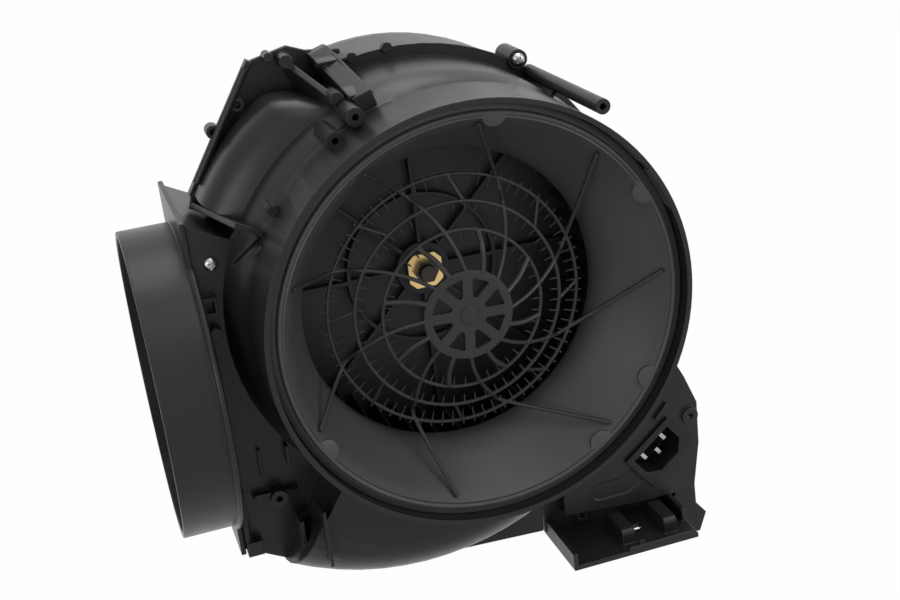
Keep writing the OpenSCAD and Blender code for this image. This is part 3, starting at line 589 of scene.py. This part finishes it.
@dataclass
class Studio:
    """White floor, a surround that is bright behind and dim in front, and soft lamps.

    Attributes:
        floor_z: Height of the floor.
        floor_half: Half of its side.
        floor_tone: Its colour where it isn't lit up.
        floor_roughness: Its roughness.
        floor_lit: Depths between which it gets lit up, behind the blower.
        floor_glow: Share of white that it reaches there.
        white: Strength of a glow that shows as white.
        shown: Share of that glow where the background shows. The rest is the floor's tone with the shadow.
        dim: Strength of the surround in front.
        bright: Strength of the surround behind.
        fade: Y of the directions at which the surround is still dim and fully bright.
        lamps: Name, place, side and power in watts of each lamp.
        aim: The point that the lamps look at.
    """

    floor_z: float = -173.0
    floor_half: float = 4000.0
    floor_tone: Point = (0.28, 0.28, 0.28)
    floor_roughness: float = 0.9
    floor_lit: tuple[float, float] = (150.0, 700.0)
    floor_glow: float = 0.7
    white: float = 1.0
    shown: float = 0.985
    dim: float = 0.48
    bright: float = 1.0
    fade: tuple[float, float] = (-0.35, 0.75)
    lamps: tuple[tuple[str, Point, float, float], ...] = (
        ("top_box", (200.0, 350.0, 1000.0), 800.0, 7.0),
        ("front_box", (300.0, -450.0, 950.0), 700.0, 3.5),
        ("left_box", (-900.0, -900.0, 250.0), 500.0, 4.0),
        ("right_strip", (900.0, -700.0, 300.0), 400.0, 4.0),
    )
    aim: Point = (-10.0, 70.0, -20.0)

    def build(self) -> None:
        """Create floor, world and lamps."""
        self._floor()
        self._world()
        for name, place, size, power in self.lamps:
            self._lamp(name, place, size, power)

    def _floor(self) -> None:
        """Pale floor that is white to the camera and still takes a shadow."""
        mesh = bpy.data.meshes.new("floor")
        shape = bmesh.new()
        bmesh.ops.create_grid(shape, x_segments=1, y_segments=1, size=self.floor_half * MM)
        bmesh.ops.translate(shape, verts=shape.verts, vec=(0.0, 0.0, self.floor_z * MM))
        shape.to_mesh(mesh)
        shape.free()
        floor = bpy.data.objects.new("floor", mesh)
        bpy.context.scene.collection.objects.link(floor)
        paint = bpy.data.materials.new("floor_white")
        paint.use_nodes = True
        tree = paint.node_tree
        skin = tree.nodes["Principled BSDF"]
        skin.inputs["Base Color"].default_value = (*self.floor_tone, 1.0)
        skin.inputs["Roughness"].default_value = self.floor_roughness
        glow = tree.nodes.new("ShaderNodeEmission")
        glow.inputs["Strength"].default_value = self.white
        mix = tree.nodes.new("ShaderNodeMixShader")
        tree.links.new(math_node(tree, "MAXIMUM", self._seen(tree), self._far(tree)), mix.inputs["Fac"])
        tree.links.new(skin.outputs[0], mix.inputs[1])
        tree.links.new(glow.outputs[0], mix.inputs[2])
        tree.links.new(mix.outputs[0], tree.nodes["Material Output"].inputs["Surface"])
        floor.data.materials.append(paint)

    def _seen(self, tree: bpy.types.NodeTree) -> bpy.types.NodeSocket:
        """Mask of the rays that show the background: from the camera, mirrored or through glass.

        Args:
            tree: The tree that the mask's nodes are added to.

        Returns:
            The socket of the mask.
        """
        path = tree.nodes.new("ShaderNodeLightPath").outputs
        onward = math_node(tree, "MAXIMUM", path["Is Glossy Ray"], path["Is Transmission Ray"])
        rays = math_node(tree, "MAXIMUM", path["Is Camera Ray"], onward)
        return math_node(tree, "MULTIPLY", rays, self.shown)

    def _far(self, tree: bpy.types.NodeTree) -> bpy.types.NodeSocket:
        """Mask of the floor that lies behind the blower, where it is lit up.

        Args:
            tree: The tree that the mask's nodes are added to.

        Returns:
            The socket of the mask.
        """
        place = tree.nodes.new("ShaderNodeTexCoord")
        return self._along_depth(tree, place.outputs["Object"], [depth * MM for depth in self.floor_lit],
                                 (0.0, self.floor_glow), "LINEAR")

    @staticmethod
    def _along_depth(tree: bpy.types.NodeTree, place: bpy.types.NodeSocket, start_end: list[float],
                     values: tuple[float, float], kind: str) -> bpy.types.NodeSocket:
        """Value that changes along Y.

        Args:
            tree: The tree that the nodes are added to.
            place: The coordinates that are read.
            start_end: Where along Y the change starts and ends.
            values: The value before and after it.
            kind: How it goes from one to the other.

        Returns:
            The socket of the value.
        """
        axes = tree.nodes.new("ShaderNodeSeparateXYZ")
        tree.links.new(place, axes.inputs[0])
        ramp = tree.nodes.new("ShaderNodeMapRange")
        ramp.interpolation_type = kind
        ramp.inputs["From Min"].default_value, ramp.inputs["From Max"].default_value = start_end
        ramp.inputs["To Min"].default_value, ramp.inputs["To Max"].default_value = values
        tree.links.new(axes.outputs["Y"], ramp.inputs["Value"])
        return ramp.outputs["Result"]

    def _world(self) -> None:
        """Surround: white where the background shows, and as light bright behind and dim in front."""
        world = bpy.data.worlds.new("studio")
        bpy.context.scene.world = world
        world.use_nodes = True
        tree = world.node_tree
        back = tree.nodes["Background"]
        back.inputs["Color"].default_value = (1.0, 1.0, 1.0, 1.0)
        way = tree.nodes.new("ShaderNodeTexCoord")
        tone = self._along_depth(tree, way.outputs["Generated"], list(self.fade), (self.dim, self.bright),
                                 "SMOOTHSTEP")
        reach = tree.nodes.new("ShaderNodeMapRange")
        reach.inputs["To Max"].default_value = self.white
        tree.links.new(self._seen(tree), reach.inputs["Value"])
        tree.links.new(tone, reach.inputs["To Min"])
        tree.links.new(reach.outputs["Result"], back.inputs["Strength"])

    def _lamp(self, name: str, place: Point, size: float, power: float) -> None:
        """Square soft lamp that looks at the blower.

        Args:
            name: Name of the lamp.
            place: Its place in millimetres.
            size: Its side in millimetres.
            power: Its power in watts.
        """
        data = bpy.data.lights.new(name, "AREA")
        data.size = size * MM
        data.energy = power
        lamp = bpy.data.objects.new(name, data)
        lamp.location = Vector(place) * MM
        look = (Vector(self.aim) - Vector(place)).normalized()
        lamp.rotation_mode = "QUATERNION"
        lamp.rotation_quaternion = look.to_track_quat("-Z", "Y")
        bpy.context.scene.collection.objects.link(lamp)


@dataclass
class InletGuard:
    """Domed finger guard: a pierced hub, three rings, spiral arms, spokes, ribs and short ticks."""

    hub_radius: float = 21.9
    hub_depth: float = 10.0
    hub_thick: float = 2.6
    hub_sides: int = 64
    hub_soft: float = 0.5
    boss_radius: float = 4.0
    boss_rise: float = 1.0
    boss_sides: int = 32
    boss_soft: float = 0.4
    # Corners of one window on the hub: distance from its middle, and to the side
    window: tuple[tuple[float, float], ...] = ((8.8, -1.0), (17.6, -4.6), (17.6, 4.6), (8.8, 1.0))
    window_round: float = 1.1
    window_steps: int = 4
    # The dome falls away from the hub by the slope, and more with the square of the distance
    slope: float = 0.42
    dome: float = 0.0018
    rings: tuple[float, ...] = (39.1, 51.0, 62.6)
    ring_bar: float = 0.95
    ring_sides: int = 10
    ring_steps: int = 120
    # Inward and outward reach and count of the ticks on each ring
    ticks: tuple[tuple[float, float, int], ...] = ((4.6, 0.4, 40), (4.6, 0.4, 56), (5.4, 2.4, 72))
    tick_bar: float = 0.5
    tick_taper: float = 0.7
    tick_sides: int = 6
    bar_middle: float = 1.1
    # Length of a bar that is sunk in the hub
    root: float = 1.0
    arm_bar: float = 1.05
    arm_count: int = 8
    arm_first: float = -3.5
    # Turn of an arm from the hub to the last ring, and on the mean to the bell's edge
    arm_twist: float = 23.0
    arm_sweep: float = 39.0
    # How much that sweep changes round the guard, whose axis isn't the bell edge's, and where it is largest
    arm_skew: float = 12.5
    arm_skew_at: float = -25.0
    arm_reach: float = 91.6
    arm_reach_depth: float = 6.2
    arm_stations: int = 4
    arm_steps: int = 6
    spoke_bar: float = 1.35
    spoke_turn: float = 9.0
    spoke_bend: float = 0.4
    spoke_steps: int = 4
    rib_bar: float = 0.9
    rib_start: float = 17.0
    rib_turn: float = 6.0

    def build(self) -> None:
        """Make the guard as one piece in place of its plain node."""
        shape = self._hub()
        for radius, row in zip(self.rings, self.ticks):
            middle = self._at(radius, 0.0)
            hoop(shape, middle, self.ring_bar, self.ring_sides, (FAN_X, middle.y, FAN_Z), (0, 1, 0),
                 self.ring_steps)
            self._ticks(shape, radius, *row)
        for k in range(self.arm_count):
            start = self.arm_first + 360.0 * k / self.arm_count
            self._arm(shape, start)
            self._spoke_and_rib(shape, start + 180.0 / self.arm_count)
        mesh = to_mesh("guard", shape)
        piece = place_piece("guard", mesh, Body.HOUSING, Finishes.GUARD)
        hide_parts("inlet_guard")

    def _at(self, radius: float, degrees: float) -> Vector:
        """Middle of a bar on the dome.

        Args:
            radius: Its distance from the fan's axis.
            degrees: Its angle.

        Returns:
            The point.
        """
        past = radius - self.hub_radius
        depth = self.hub_depth + self.slope * past + self.dome * past * past + self.bar_middle
        return polar(radius, degrees, depth, 1.0)

    def _hub(self) -> Shape:
        """Hub disc with its windows and middle boss.

        Returns:
            The shape of the hub.
        """
        disc = bmesh.new()
        front = Vector((FAN_X, self.hub_depth, FAN_Z))
        drum(disc, front, self.hub_radius, self.hub_thick, self.hub_sides, self.hub_soft)
        cutter = bmesh.new()
        for k in range(self.arm_count):
            self._window(cutter, self.arm_first + 360.0 * (k + 0.5) / self.arm_count)
        hub = carve("hub", disc, cutter)
        front.y -= self.boss_rise
        drum(hub, front, self.boss_radius, self.hub_thick, self.boss_sides, self.boss_soft)
        return hub

    def _window(self, cutter: Shape, degrees: float) -> None:
        """Prism of one window with round corners, from before the hub to behind it.

        Args:
            cutter: The shape to add to.
            degrees: The window's angle on the hub.
        """
        front = self.hub_depth - self.hub_thick
        turn = Matrix.Translation((FAN_X, 0.0, FAN_Z)) @ Matrix.Rotation(-math.radians(degrees), 4, "Y")
        corners = [cutter.verts.new(turn @ Vector((x, front, z))) for x, z in self.window]
        old = set(cutter.verts) - set(corners)
        cutter.faces.new(corners)
        bmesh.ops.bevel(cutter, geom=corners, offset=self.window_round, affect="VERTICES",
                        segments=self.window_steps, profile=0.5, material=-1)
        face = next(f for f in cutter.faces if all(v not in old and v.is_boundary for v in f.verts))
        grown = bmesh.ops.extrude_face_region(cutter, geom=[face])
        moved = [item for item in grown["geom"] if isinstance(item, bmesh.types.BMVert)]
        bmesh.ops.translate(cutter, verts=moved, vec=(0.0, 3 * self.hub_thick, 0.0))

    def _ticks(self, shape: Shape, radius: float, inward: float, outward: float, count: int) -> None:
        """Short flat-lying ticks across one ring.

        Args:
            shape: The mesh to add to.
            radius: Radius of the ring.
            inward: Reach of a tick from the ring to the middle.
            outward: Its reach the other way.
            count: How many ticks there are.
        """
        depth = self._at(radius, 0.0).y
        for i in range(count):
            angle = 360.0 * (i + 0.5) / count
            ends = [polar(reach, angle, depth, 1.0) for reach in (radius - inward, radius + outward)]
            sweep(shape, ends, [self.tick_bar * self.tick_taper, self.tick_bar], self.tick_sides)

    def _arm(self, shape: Shape, start: float) -> None:
        """One spiral arm, from the hub over the rings to the bell's edge.

        Args:
            shape: The mesh to add to.
            start: Angle at which it leaves the hub.
        """
        inner = self.hub_radius - self.root
        points = []
        for i in range(self.arm_stations + 1):
            share = i / self.arm_stations
            points.append(self._at(inner + share * (self.rings[-1] - inner), start + self.arm_twist * share))
        end = start + self.arm_sweep + self.arm_skew * math.cos(math.radians(start - self.arm_skew_at))
        points.append(polar(self.arm_reach, end, self.arm_reach_depth))
        path = smooth_path(points, self.arm_steps)
        sweep(shape, path, [self.arm_bar] * len(path))

    def _spoke_and_rib(self, shape: Shape, start: float) -> None:
        """Spoke from the hub to the first ring, and rib between the other two.

        Args:
            shape: The mesh to add to.
            start: Angle at which the spoke leaves the hub.
        """
        inner = self.hub_radius - self.root
        first, second, third = self.rings
        bend = self._at((inner + first) / 2, start + self.spoke_turn * self.spoke_bend)
        spoke = [self._at(inner, start), bend, self._at(first, start + self.spoke_turn)]
        path = smooth_path(spoke, self.spoke_steps)
        sweep(shape, path, [self.spoke_bar] * len(path))
        rib = start + self.rib_start
        sweep(shape, [self._at(second, rib), self._at(third, rib + self.rib_turn)], [self.rib_bar] * 2)


@dataclass
class BellMouth:
    """Bell mouth lofted from the inlet ring's centre to the fan's axis, with clips on its edge."""

    edge_radius: float = 95.2
    wall: float = 2.2
    edge_depth: float = 4.0
    edge_steps: int = 4
    seat_depth: float = 22.0
    brim_radius: float = 101.1
    brim_depth: float = 6.6
    brim_soft: float = 0.3
    brim_gap: float = 0.2
    throat_radius: float = 73.0
    throat_depth: float = 41.0
    # Radius, depth and share of the way to the fan's axis, along the inside from the edge to near the throat
    inside: tuple[Point, ...] = (
        (94.2, 4.6, 0.0), (90.2, 10.0, 0.05), (83.0, 21.0, 0.5), (77.6, 29.0, 0.8), (74.2, 35.0, 0.95))
    inside_steps: int = 4
    # Stations of the inside that the back of the wall leaves out at the edge, and how far it lies deeper
    back_from: int = 3
    back_shift: float = 0.6
    # Soft end of the throat, and the wall's inner corner behind the edge
    lip_soft: float = 0.4
    lip_front: float = 0.9
    lip_back: float = 1.1
    root_soft: float = 0.4
    root_depth: float = 9.0
    segments: int = 160
    sharp: float = 50.0
    clip_angles: tuple[float, ...] = (81.2, 28.0, 210.2, -56.0, -32.0)
    clip_radius: float = 6.0
    clip_thick: float = 2.4
    clip_sides: int = 28
    clip_soft: float = 0.5
    # Place of its straight side, past its middle
    clip_flat: float = 0.6
    # Turn that leans its round side to the back, in degrees
    clip_lean: float = -18.0
    # Place of its middle: past the edge's radius, and behind the edge by a share of its thickness
    clip_out: float = 0.3
    clip_sunk: float = 0.6

    def build(self) -> None:
        """Make the bell as one piece in place of its plain node."""
        shape = bmesh.new()
        loops = []
        for radius, depth, share in self._section():
            middle = Matrix.Translation((share * FAN_X, depth, share * FAN_Z))
            made = bmesh.ops.create_circle(shape, segments=self.segments, radius=radius,
                                           matrix=middle @ LAY_DOWN)
            loops.append(edges_of(made["verts"]))
        for one, other in zip(loops, [*loops[1:], loops[0]]):
            bmesh.ops.bridge_loops(shape, edges=list(one | other))
        for angle in self.clip_angles:
            self._clip(shape, angle)
        mesh = to_mesh("bell", shape, self.sharp)
        # Its finish holds painted light: a tone lighter than the shell's black stands in for the front light
        # in the bell.
        piece = place_piece("bell", mesh, Body.HOUSING, Finishes.BELL_PAINTED_LIGHT)
        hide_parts("bell_mouth")

    def _section(self) -> list[Point]:
        """Closed section of the bell, from its seat over the brim and edge to the throat and back behind.

        Returns:
            Radius, depth and share of the way to the fan's axis at each station.
        """
        out = self.edge_radius + self.wall
        brim_back = self.brim_depth + self.wall
        bead = self.wall / 2
        front = [(out, self.seat_depth), (out, brim_back), (self.brim_radius, brim_back),
                 (self.brim_radius, self.brim_depth + self.brim_soft),
                 (self.brim_radius - self.brim_soft, self.brim_depth), (out + self.brim_gap, self.brim_depth)]
        for step in range(self.edge_steps + 1):
            angle = math.pi * step / self.edge_steps
            front.append((self.edge_radius + bead + bead * math.cos(angle),
                          self.edge_depth + bead - bead * math.sin(angle)))
        throat = (self.throat_radius, self.throat_depth, 1.0)
        inner = smooth_path([Vector(point) for point in (*self.inside, throat)], self.inside_steps)
        behind_by = Vector((self.wall, self.back_shift, 0.0))
        behind = [point + behind_by for point in reversed(inner[self.back_from:])]
        lip = [(self.throat_radius + self.lip_soft, self.throat_depth + self.lip_front, 1.0),
               (self.throat_radius + self.wall - self.lip_soft, self.throat_depth + self.lip_back, 1.0)]
        last = [(self.edge_radius - self.root_soft, self.edge_depth + self.root_depth),
                (self.edge_radius, self.seat_depth)]
        front, last = ([(radius, depth, 0.0) for radius, depth in row] for row in (front, last))
        return [*front, *map(tuple, inner), *lip, *map(tuple, behind), *last]

    def _clip(self, shape: Shape, degrees: float) -> None:
        """Half-round clip on the bell's edge, with its round side towards the middle.

        Args:
            shape: The mesh to add to.
            degrees: Its angle on the edge.
        """
        old = set(shape.verts)
        made = bmesh.ops.create_cone(shape, cap_ends=True, segments=self.clip_sides, radius1=self.clip_radius,
                                     radius2=self.clip_radius, depth=self.clip_thick, matrix=LAY_DOWN)
        faces = {face for vert in made["verts"] for face in vert.link_faces}
        whole = [*made["verts"], *edges_of(made["verts"]), *faces]
        bmesh.ops.bisect_plane(shape, geom=whole, dist=SAME_POINT, plane_co=(self.clip_flat, 0.0, 0.0),
                               plane_no=(1.0, 0.0, 0.0), clear_outer=True)
        mine = [vert for vert in shape.verts if vert not in old]
        bmesh.ops.holes_fill(shape, edges=[edge for edge in edges_of(mine) if edge.is_boundary], sides=0)
        soften(shape, rims_of(mine), self.clip_soft)
        mine = [vert for vert in shape.verts if vert not in old]
        lean = Matrix.Rotation(math.radians(self.clip_lean), 4, "Z")
        turn = Matrix.Rotation(-math.radians(degrees), 4, "Y")
        depth = self.edge_depth + self.clip_thick * self.clip_sunk
        spot = polar(self.edge_radius + self.clip_out, degrees, depth)
        bmesh.ops.transform(shape, matrix=Matrix.Translation(spot) @ turn @ lean, verts=mine)


@dataclass
class PanScrew:
    """Screw with a domed head and a cross recess, facing the front."""

    shank_radius: float = 1.5
    shank_sides: int = 20
    shank_soft: float = 0.3
    shank_root: float = 0.2
    head_radius: float = 3.4
    head_height: float = 2.4
    head_steps: int = 32
    # Half section of the head, from its top to its seat, in shares of its radius and height
    dome: tuple[tuple[float, float], ...] = (
        (0.0, -1.0), (0.45, -0.98), (0.75, -0.82), (0.95, -0.5), (1.0, -0.2), (0.97, 0.0), (0.0, 0.0))
    slot_width: float = 0.9
    slot_length: float = 3.6
    slot_depth: float = 1.3
    slot_turn: float = 30.0

    def add(self, shape: Shape, place: Vector, length: float) -> None:
        """Add one screw.

        Args:
            shape: The mesh to add to.
            place: Middle of the seat under its head.
            length: Length of its shank.
        """
        head = bmesh.new()
        verts = [head.verts.new((r * self.head_radius, y * self.head_height, 0.0)) for r, y in self.dome]
        edges = [head.edges.new(pair) for pair in zip(verts, verts[1:])]
        bmesh.ops.spin(head, geom=[*verts, *edges], cent=(0, 0, 0), axis=(0, 1, 0), angle=FULL_TURN,
                       steps=self.head_steps, use_merge=True)
        bmesh.ops.remove_doubles(head, verts=head.verts, dist=SAME_POINT)
        screw = carve("screw", head, self._recess())
        root = Vector((0.0, -self.shank_root, 0.0))
        drum(screw, root, self.shank_radius, length + self.shank_root, self.shank_sides, self.shank_soft)
        bmesh.ops.translate(screw, verts=screw.verts, vec=place)
        add_shape(shape, screw)

    def _recess(self) -> Shape:
        """Two crossed bars at the top of the head, which cut its recess.

        Returns:
            The shape of the bars.
        """
        cutter = bmesh.new()
        top = Matrix.Translation((0.0, -self.head_height, 0.0))
        for turn in (self.slot_turn, self.slot_turn + 90.0):
            bar = bmesh.ops.create_cube(cutter, size=1.0)["verts"]
            bmesh.ops.scale(cutter, verts=bar, vec=(self.slot_length, 2 * self.slot_depth, self.slot_width))
            bmesh.ops.transform(cutter, verts=bar, matrix=top @ Matrix.Rotation(math.radians(turn), 4, "Y"))
        return cutter


@dataclass
class Fasteners:
    """Zinc screws of the housing halves and of the collar, placed from the fan's axis."""

    flange_places: tuple[tuple[float, float], ...] = ((62.8, 97.0), (92.0, -86.8))
    flange_depth: float = 87.0
    flange_length: float = 17.0
    collar_place: tuple[float, float] = (-109.0, 36.0)
    collar_depth: float = 52.0
    collar_length: float = 5.5
    screw: PanScrew = field(default_factory=PanScrew)

    def build(self) -> None:
        """Make both groups of screws in place of their plain nodes."""
        flange = [Vector((x + FAN_X, self.flange_depth, z + FAN_Z)) for x, z in self.flange_places]
        x, z = self.collar_place
        collar = [Vector((x + FAN_X, self.collar_depth, z + FAN_Z))]
        for name, node, places, length in (("flange_screws", "housing_screws", flange, self.flange_length),
                                           ("neck_screw", "collar_screw", collar, self.collar_length)):
            shape = bmesh.new()
            for place in places:
                self.screw.add(shape, place, length)
            piece = place_piece(name, to_mesh(name, shape), Body.HOUSING, Finishes.ZINC)
            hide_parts(node)


@dataclass
class SoftCopies:
    """Moulded and stamped nodes drawn again as one skin each, with smooth faces and soft edges.

    Attributes:
        edges: Width of each node's soft edges, or nothing where its finish alone rounds them.
        merge: Distance within which its points are one.
        flat: Angle in degrees up to which two faces become one.
        sharp: Angle from which the edge between two faces shows as sharp.
        bevel_from: Angle from which it gets a soft edge.
    """

    edges: dict[str, float] = field(default_factory=lambda: {
        "front_housing": 0.0, "rear_housing": 0.0, "pocket_frame": 0.35, "connector_plate": 0.35,
        "cable_tray": 0.35, "outlet_collar": 0.4, "power_inlet": 0.3, "damper_flap_front": 0.25,
        "damper_flap_rear": 0.25, "motor_carrier": 0.4, "shaft_clip": 0.15, "shaft_nut": 0.25})
    merge: float = 0.002
    flat: float = 1.2
    sharp: float = 24.0
    bevel_from: float = 40.0

    def build(self, frame: dict) -> None:
        """Make every copy and let it replace its node.
        """
        slots = slots_of(frame)
        bodies = frame["record"]["behaviour"]["bodies"]
        homes = {node: Body(body) for body, nodes in bodies.items() for node in nodes}
        for name, width in self.edges.items():
            slot = slots[name]
            mesh = self._skin(f"{name}_skin", frame["nodes"][name].data)
            piece = place_piece(mesh.name, mesh, homes[name], Finishes.of(name, slot))
            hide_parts(name)
            if width:
                self._soften(piece, width)
            even = piece.modifiers.new("even_shading", "WEIGHTED_NORMAL")
            even.keep_sharp = True
            even.mode = "FACE_AREA_WITH_ANGLE"

    def _skin(self, name: str, source: bpy.types.Mesh) -> bpy.types.Mesh:
        """Copy a node's loose triangles as one smooth-shaded skin.

        Args:
            name: Name of the copy.
            source: The node's mesh, which stays as it is.

        Returns:
            The copy.
        """
        shape = bmesh.new()
        shape.from_mesh(source)
        bmesh.ops.remove_doubles(shape, verts=shape.verts, dist=self.merge * MM)
        bmesh.ops.dissolve_limit(shape, angle_limit=math.radians(self.flat), verts=shape.verts,
                                 edges=shape.edges)
        mesh = bpy.data.meshes.new(name)
        shape.to_mesh(mesh)
        shape.free()
        mesh.shade_smooth()
        mesh.set_sharp_from_angle(angle=math.radians(self.sharp))
        return mesh

    def _soften(self, piece: bpy.types.Object, width: float) -> None:
        """Round the sharp edges of a piece.

        Args:
            piece: The piece.
            width: Width of the soft edges in millimetres.
        """
        soft = piece.modifiers.new("soft_edges", "BEVEL")
        soft.width = width * MM
        soft.segments = SOFT_STEPS
        soft.limit_method = "ANGLE"
        soft.angle_limit = math.radians(self.bevel_from)
        soft.use_clamp_overlap = False


@dataclass
class TrayBack:
    """Wall behind the cable tray, high on the left and low on the right, with its screw boss."""

    floor: float = -135.6
    front: float = 28.5
    thick: float = 2.0
    left: float = 27.0
    step: float = 60.0
    right: float = 106.0
    high: float = -108.0
    low: float = -127.0
    overlap: float = 1.0
    set_back: float = 0.2
    soft: float = 0.3
    boss: tuple[float, float] = (47.5, -129.6)
    boss_radius: float = 3.5
    boss_rise: float = 3.0
    boss_root: float = 0.5
    boss_sides: int = 32
    hole_radius: float = 1.7
    hole_sides: int = 24
    hole_soft: float = 0.1

    def build(self) -> None:
        """Make the wall as a piece of its own."""
        wall = bmesh.new()
        back = self.front + self.thick
        block(wall, Vector((self.left, self.front, self.floor)), Vector((self.step, back, self.high)),
              self.soft)
        block(wall, Vector((self.step - self.overlap, self.front + self.set_back, self.floor)),
              Vector((self.right, back, self.low)), self.soft)
        x, z = self.boss
        boss = bmesh.new()
        drum(boss, Vector((x, self.front - self.boss_rise, z)), self.boss_radius,
             self.boss_rise + self.boss_root, self.boss_sides, self.soft)
        hole = bmesh.new()
        drum(hole, Vector((x, self.front - 2 * self.boss_rise, z)), self.hole_radius, 2 * self.boss_rise,
             self.hole_sides, self.hole_soft)
        add_shape(wall, carve("tray_boss", boss, hole))
        shell_piece("tray_back", wall)


@dataclass
class CollarLip:
    """Raised lip round the root of the outlet collar."""

    axis_depth: float = 91.0
    axis_height: float = -31.9
    place: float = -124.2
    radius: float = 79.0
    bar: float = 1.7
    sides: int = 12
    steps: int = 144

    def build(self) -> None:
        """Make the lip as a piece of its own."""
        shape = bmesh.new()
        start = Vector((self.place, self.axis_depth - self.radius, self.axis_height))
        centre = (self.place, self.axis_depth, self.axis_height)
        hoop(shape, start, self.bar, self.sides, centre, (1, 0, 0), self.steps)
        shell_piece("collar_lip", shape)


@dataclass
class PocketTrim:
    """Rail, latch ribs, latch cross bar and hook, and the forked rib of the control pocket."""

    rail: tuple[Point, ...] = ((-111.8, 78.0, 69.2), (-80.2, 78.0, 118.6))
    rail_bar: float = 1.9
    rail_sides: int = 12
    latch: tuple[Point, ...] = ((-42.4, 72.0, 118.4), (-36.6, 38.5, 105.2))
    latch_half: float = 3.6
    latch_across: Point = (0.963, 0.0, 0.268)
    latch_bar: float = 1.0
    # Size of the cross bar and of the hook, and the share of the way along the latch where each sits
    cross_size: Point = (15.0, 5.0, 3.4)
    cross_at: float = 0.1
    hook_size: Point = (12.5, 9.0, 3.6)
    hook_at: float = 0.9
    soft: float = 0.5
    fork: tuple[tuple[Point, ...], ...] = (
        ((-105.2, 43.6, 38.6), (-98.8, 36.6, 46.4), (-93.6, 32.4, 52.0)),
        ((-103.2, 41.0, 35.0), (-97.0, 34.2, 42.6), (-92.4, 30.6, 47.4)))
    fork_bar: float = 1.1
    fork_steps: int = 5
    rib_sides: int = 10

    def build(self) -> None:
        """Make the trim as one piece."""
        shape = bmesh.new()
        sweep(shape, [Vector(point) for point in self.rail], [self.rail_bar] * 2, self.rail_sides)
        self._latch(shape)
        for rib in self.fork:
            path = smooth_path([Vector(point) for point in rib], self.fork_steps)
            sweep(shape, path, [self.fork_bar] * len(path), self.rib_sides)
        shell_piece("pocket_trim", shape)

    def _latch(self, shape: Shape) -> None:
        """Two ribs along the latch, with its cross bar and its hook.

        Args:
            shape: The mesh to add to.
        """
        start, end = (Vector(point) for point in self.latch)
        across = Vector(self.latch_across) * self.latch_half
        for side in (-1, 1):
            sweep(shape, [start + side * across, end + side * across], [self.latch_bar] * 2, self.rib_sides)
        tilt = (end - start).to_track_quat("-Y", "Z").to_matrix().to_4x4()
        for share, size in ((self.cross_at, self.cross_size), (self.hook_at, self.hook_size)):
            half = Vector(size) / 2
            mine = block(shape, -half, half, self.soft)
            bmesh.ops.transform(shape, verts=mine, matrix=Matrix.Translation(start.lerp(end, share)) @ tilt)


@dataclass
class PocketFloor:
    """Scroll wall between the front shoulder and the pocket's rail, as one bent panel.

    Attributes:
        first: Angle round the fan's axis at which the panel starts.
        last: Angle at which it ends.
        front_radius: Its distance from the fan's axis at the shoulder.
        front_depth: Its depth there.
        back_radius: Its distance at the rail.
        back_depth: Its depth there.
        bulge: How fast it rises behind the shoulder.
        dips_from: Angle below which its back sinks towards the latch.
        dip_length: Angle over which it sinks.
        dip: How far it sinks.
        thick: Its wall.
        rows: Its stretches from front to back.
        columns: Its stretches along the scroll.
    """

    first: float = 109.0
    last: float = 150.0
    front_radius: float = 105.5
    front_depth: float = 50.0
    back_radius: float = 123.0
    back_depth: float = 78.6
    bulge: float = 6.0
    dips_from: float = 125.0
    dip_length: float = 12.0
    dip: float = 12.5
    thick: float = 1.6
    rows: int = 48
    columns: int = 60

    def build(self) -> None:
        """Make the panel as a piece of its own."""
        shape = bmesh.new()
        bmesh.ops.create_grid(shape, x_segments=self.columns, y_segments=self.rows, size=1.0)
        for vert in shape.verts:
            vert.co = self._at((vert.co.x + 1) / 2, (vert.co.y + 1) / 2)
        bmesh.ops.recalc_face_normals(shape, faces=shape.faces)
        bmesh.ops.solidify(shape, geom=shape.faces[:], thickness=self.thick)
        shell_piece("pocket_floor", shape)

    def _at(self, along: float, back: float) -> Vector:
        """Point of the panel.

        Args:
            along: Share of the way along the scroll.
            back: Share of the way from the shoulder to the rail.

        Returns:
            The point.
        """
        angle = self.first + along * (self.last - self.first)
        sunk = min(1.0, max(0.0, (self.dips_from - angle) / self.dip_length))
        top = self.back_radius - self.dip * sunk * sunk * (3.0 - 2.0 * sunk)
        rise = 1.0 - (1.0 - back) ** self.bulge
        radius = self.front_radius + rise * (top - self.front_radius)
        return polar(radius, angle, self.front_depth + back * (self.back_depth - self.front_depth), 1.0)


class FrameNodes:
    """The frame's own nodes, which keep their shapes and get finishes."""

    def dress(self, frame: dict) -> None:
        """Dress every node of the frame.
        """
        slots = slots_of(frame)
        for name, node in frame["nodes"].items():
            dress(node, Finishes.of(name, slots[name]))
            log.info("dressed %s", name)


def main() -> None:
    """Load the frame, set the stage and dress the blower."""
    logging.basicConfig(level=logging.INFO, format="%(name)s: %(message)s")
    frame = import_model()
    bpy.context.scene.view_settings.view_transform = "Standard"
    PhotoCamera().build()
    Studio().build()
    FrameNodes().dress(frame)
    SoftCopies().build(frame)
    for part in (BellMouth, InletGuard, Fasteners, PocketFloor, PocketTrim, CollarLip, TrayBack):
        part().build()


if __name__ == "__main__":
    main()
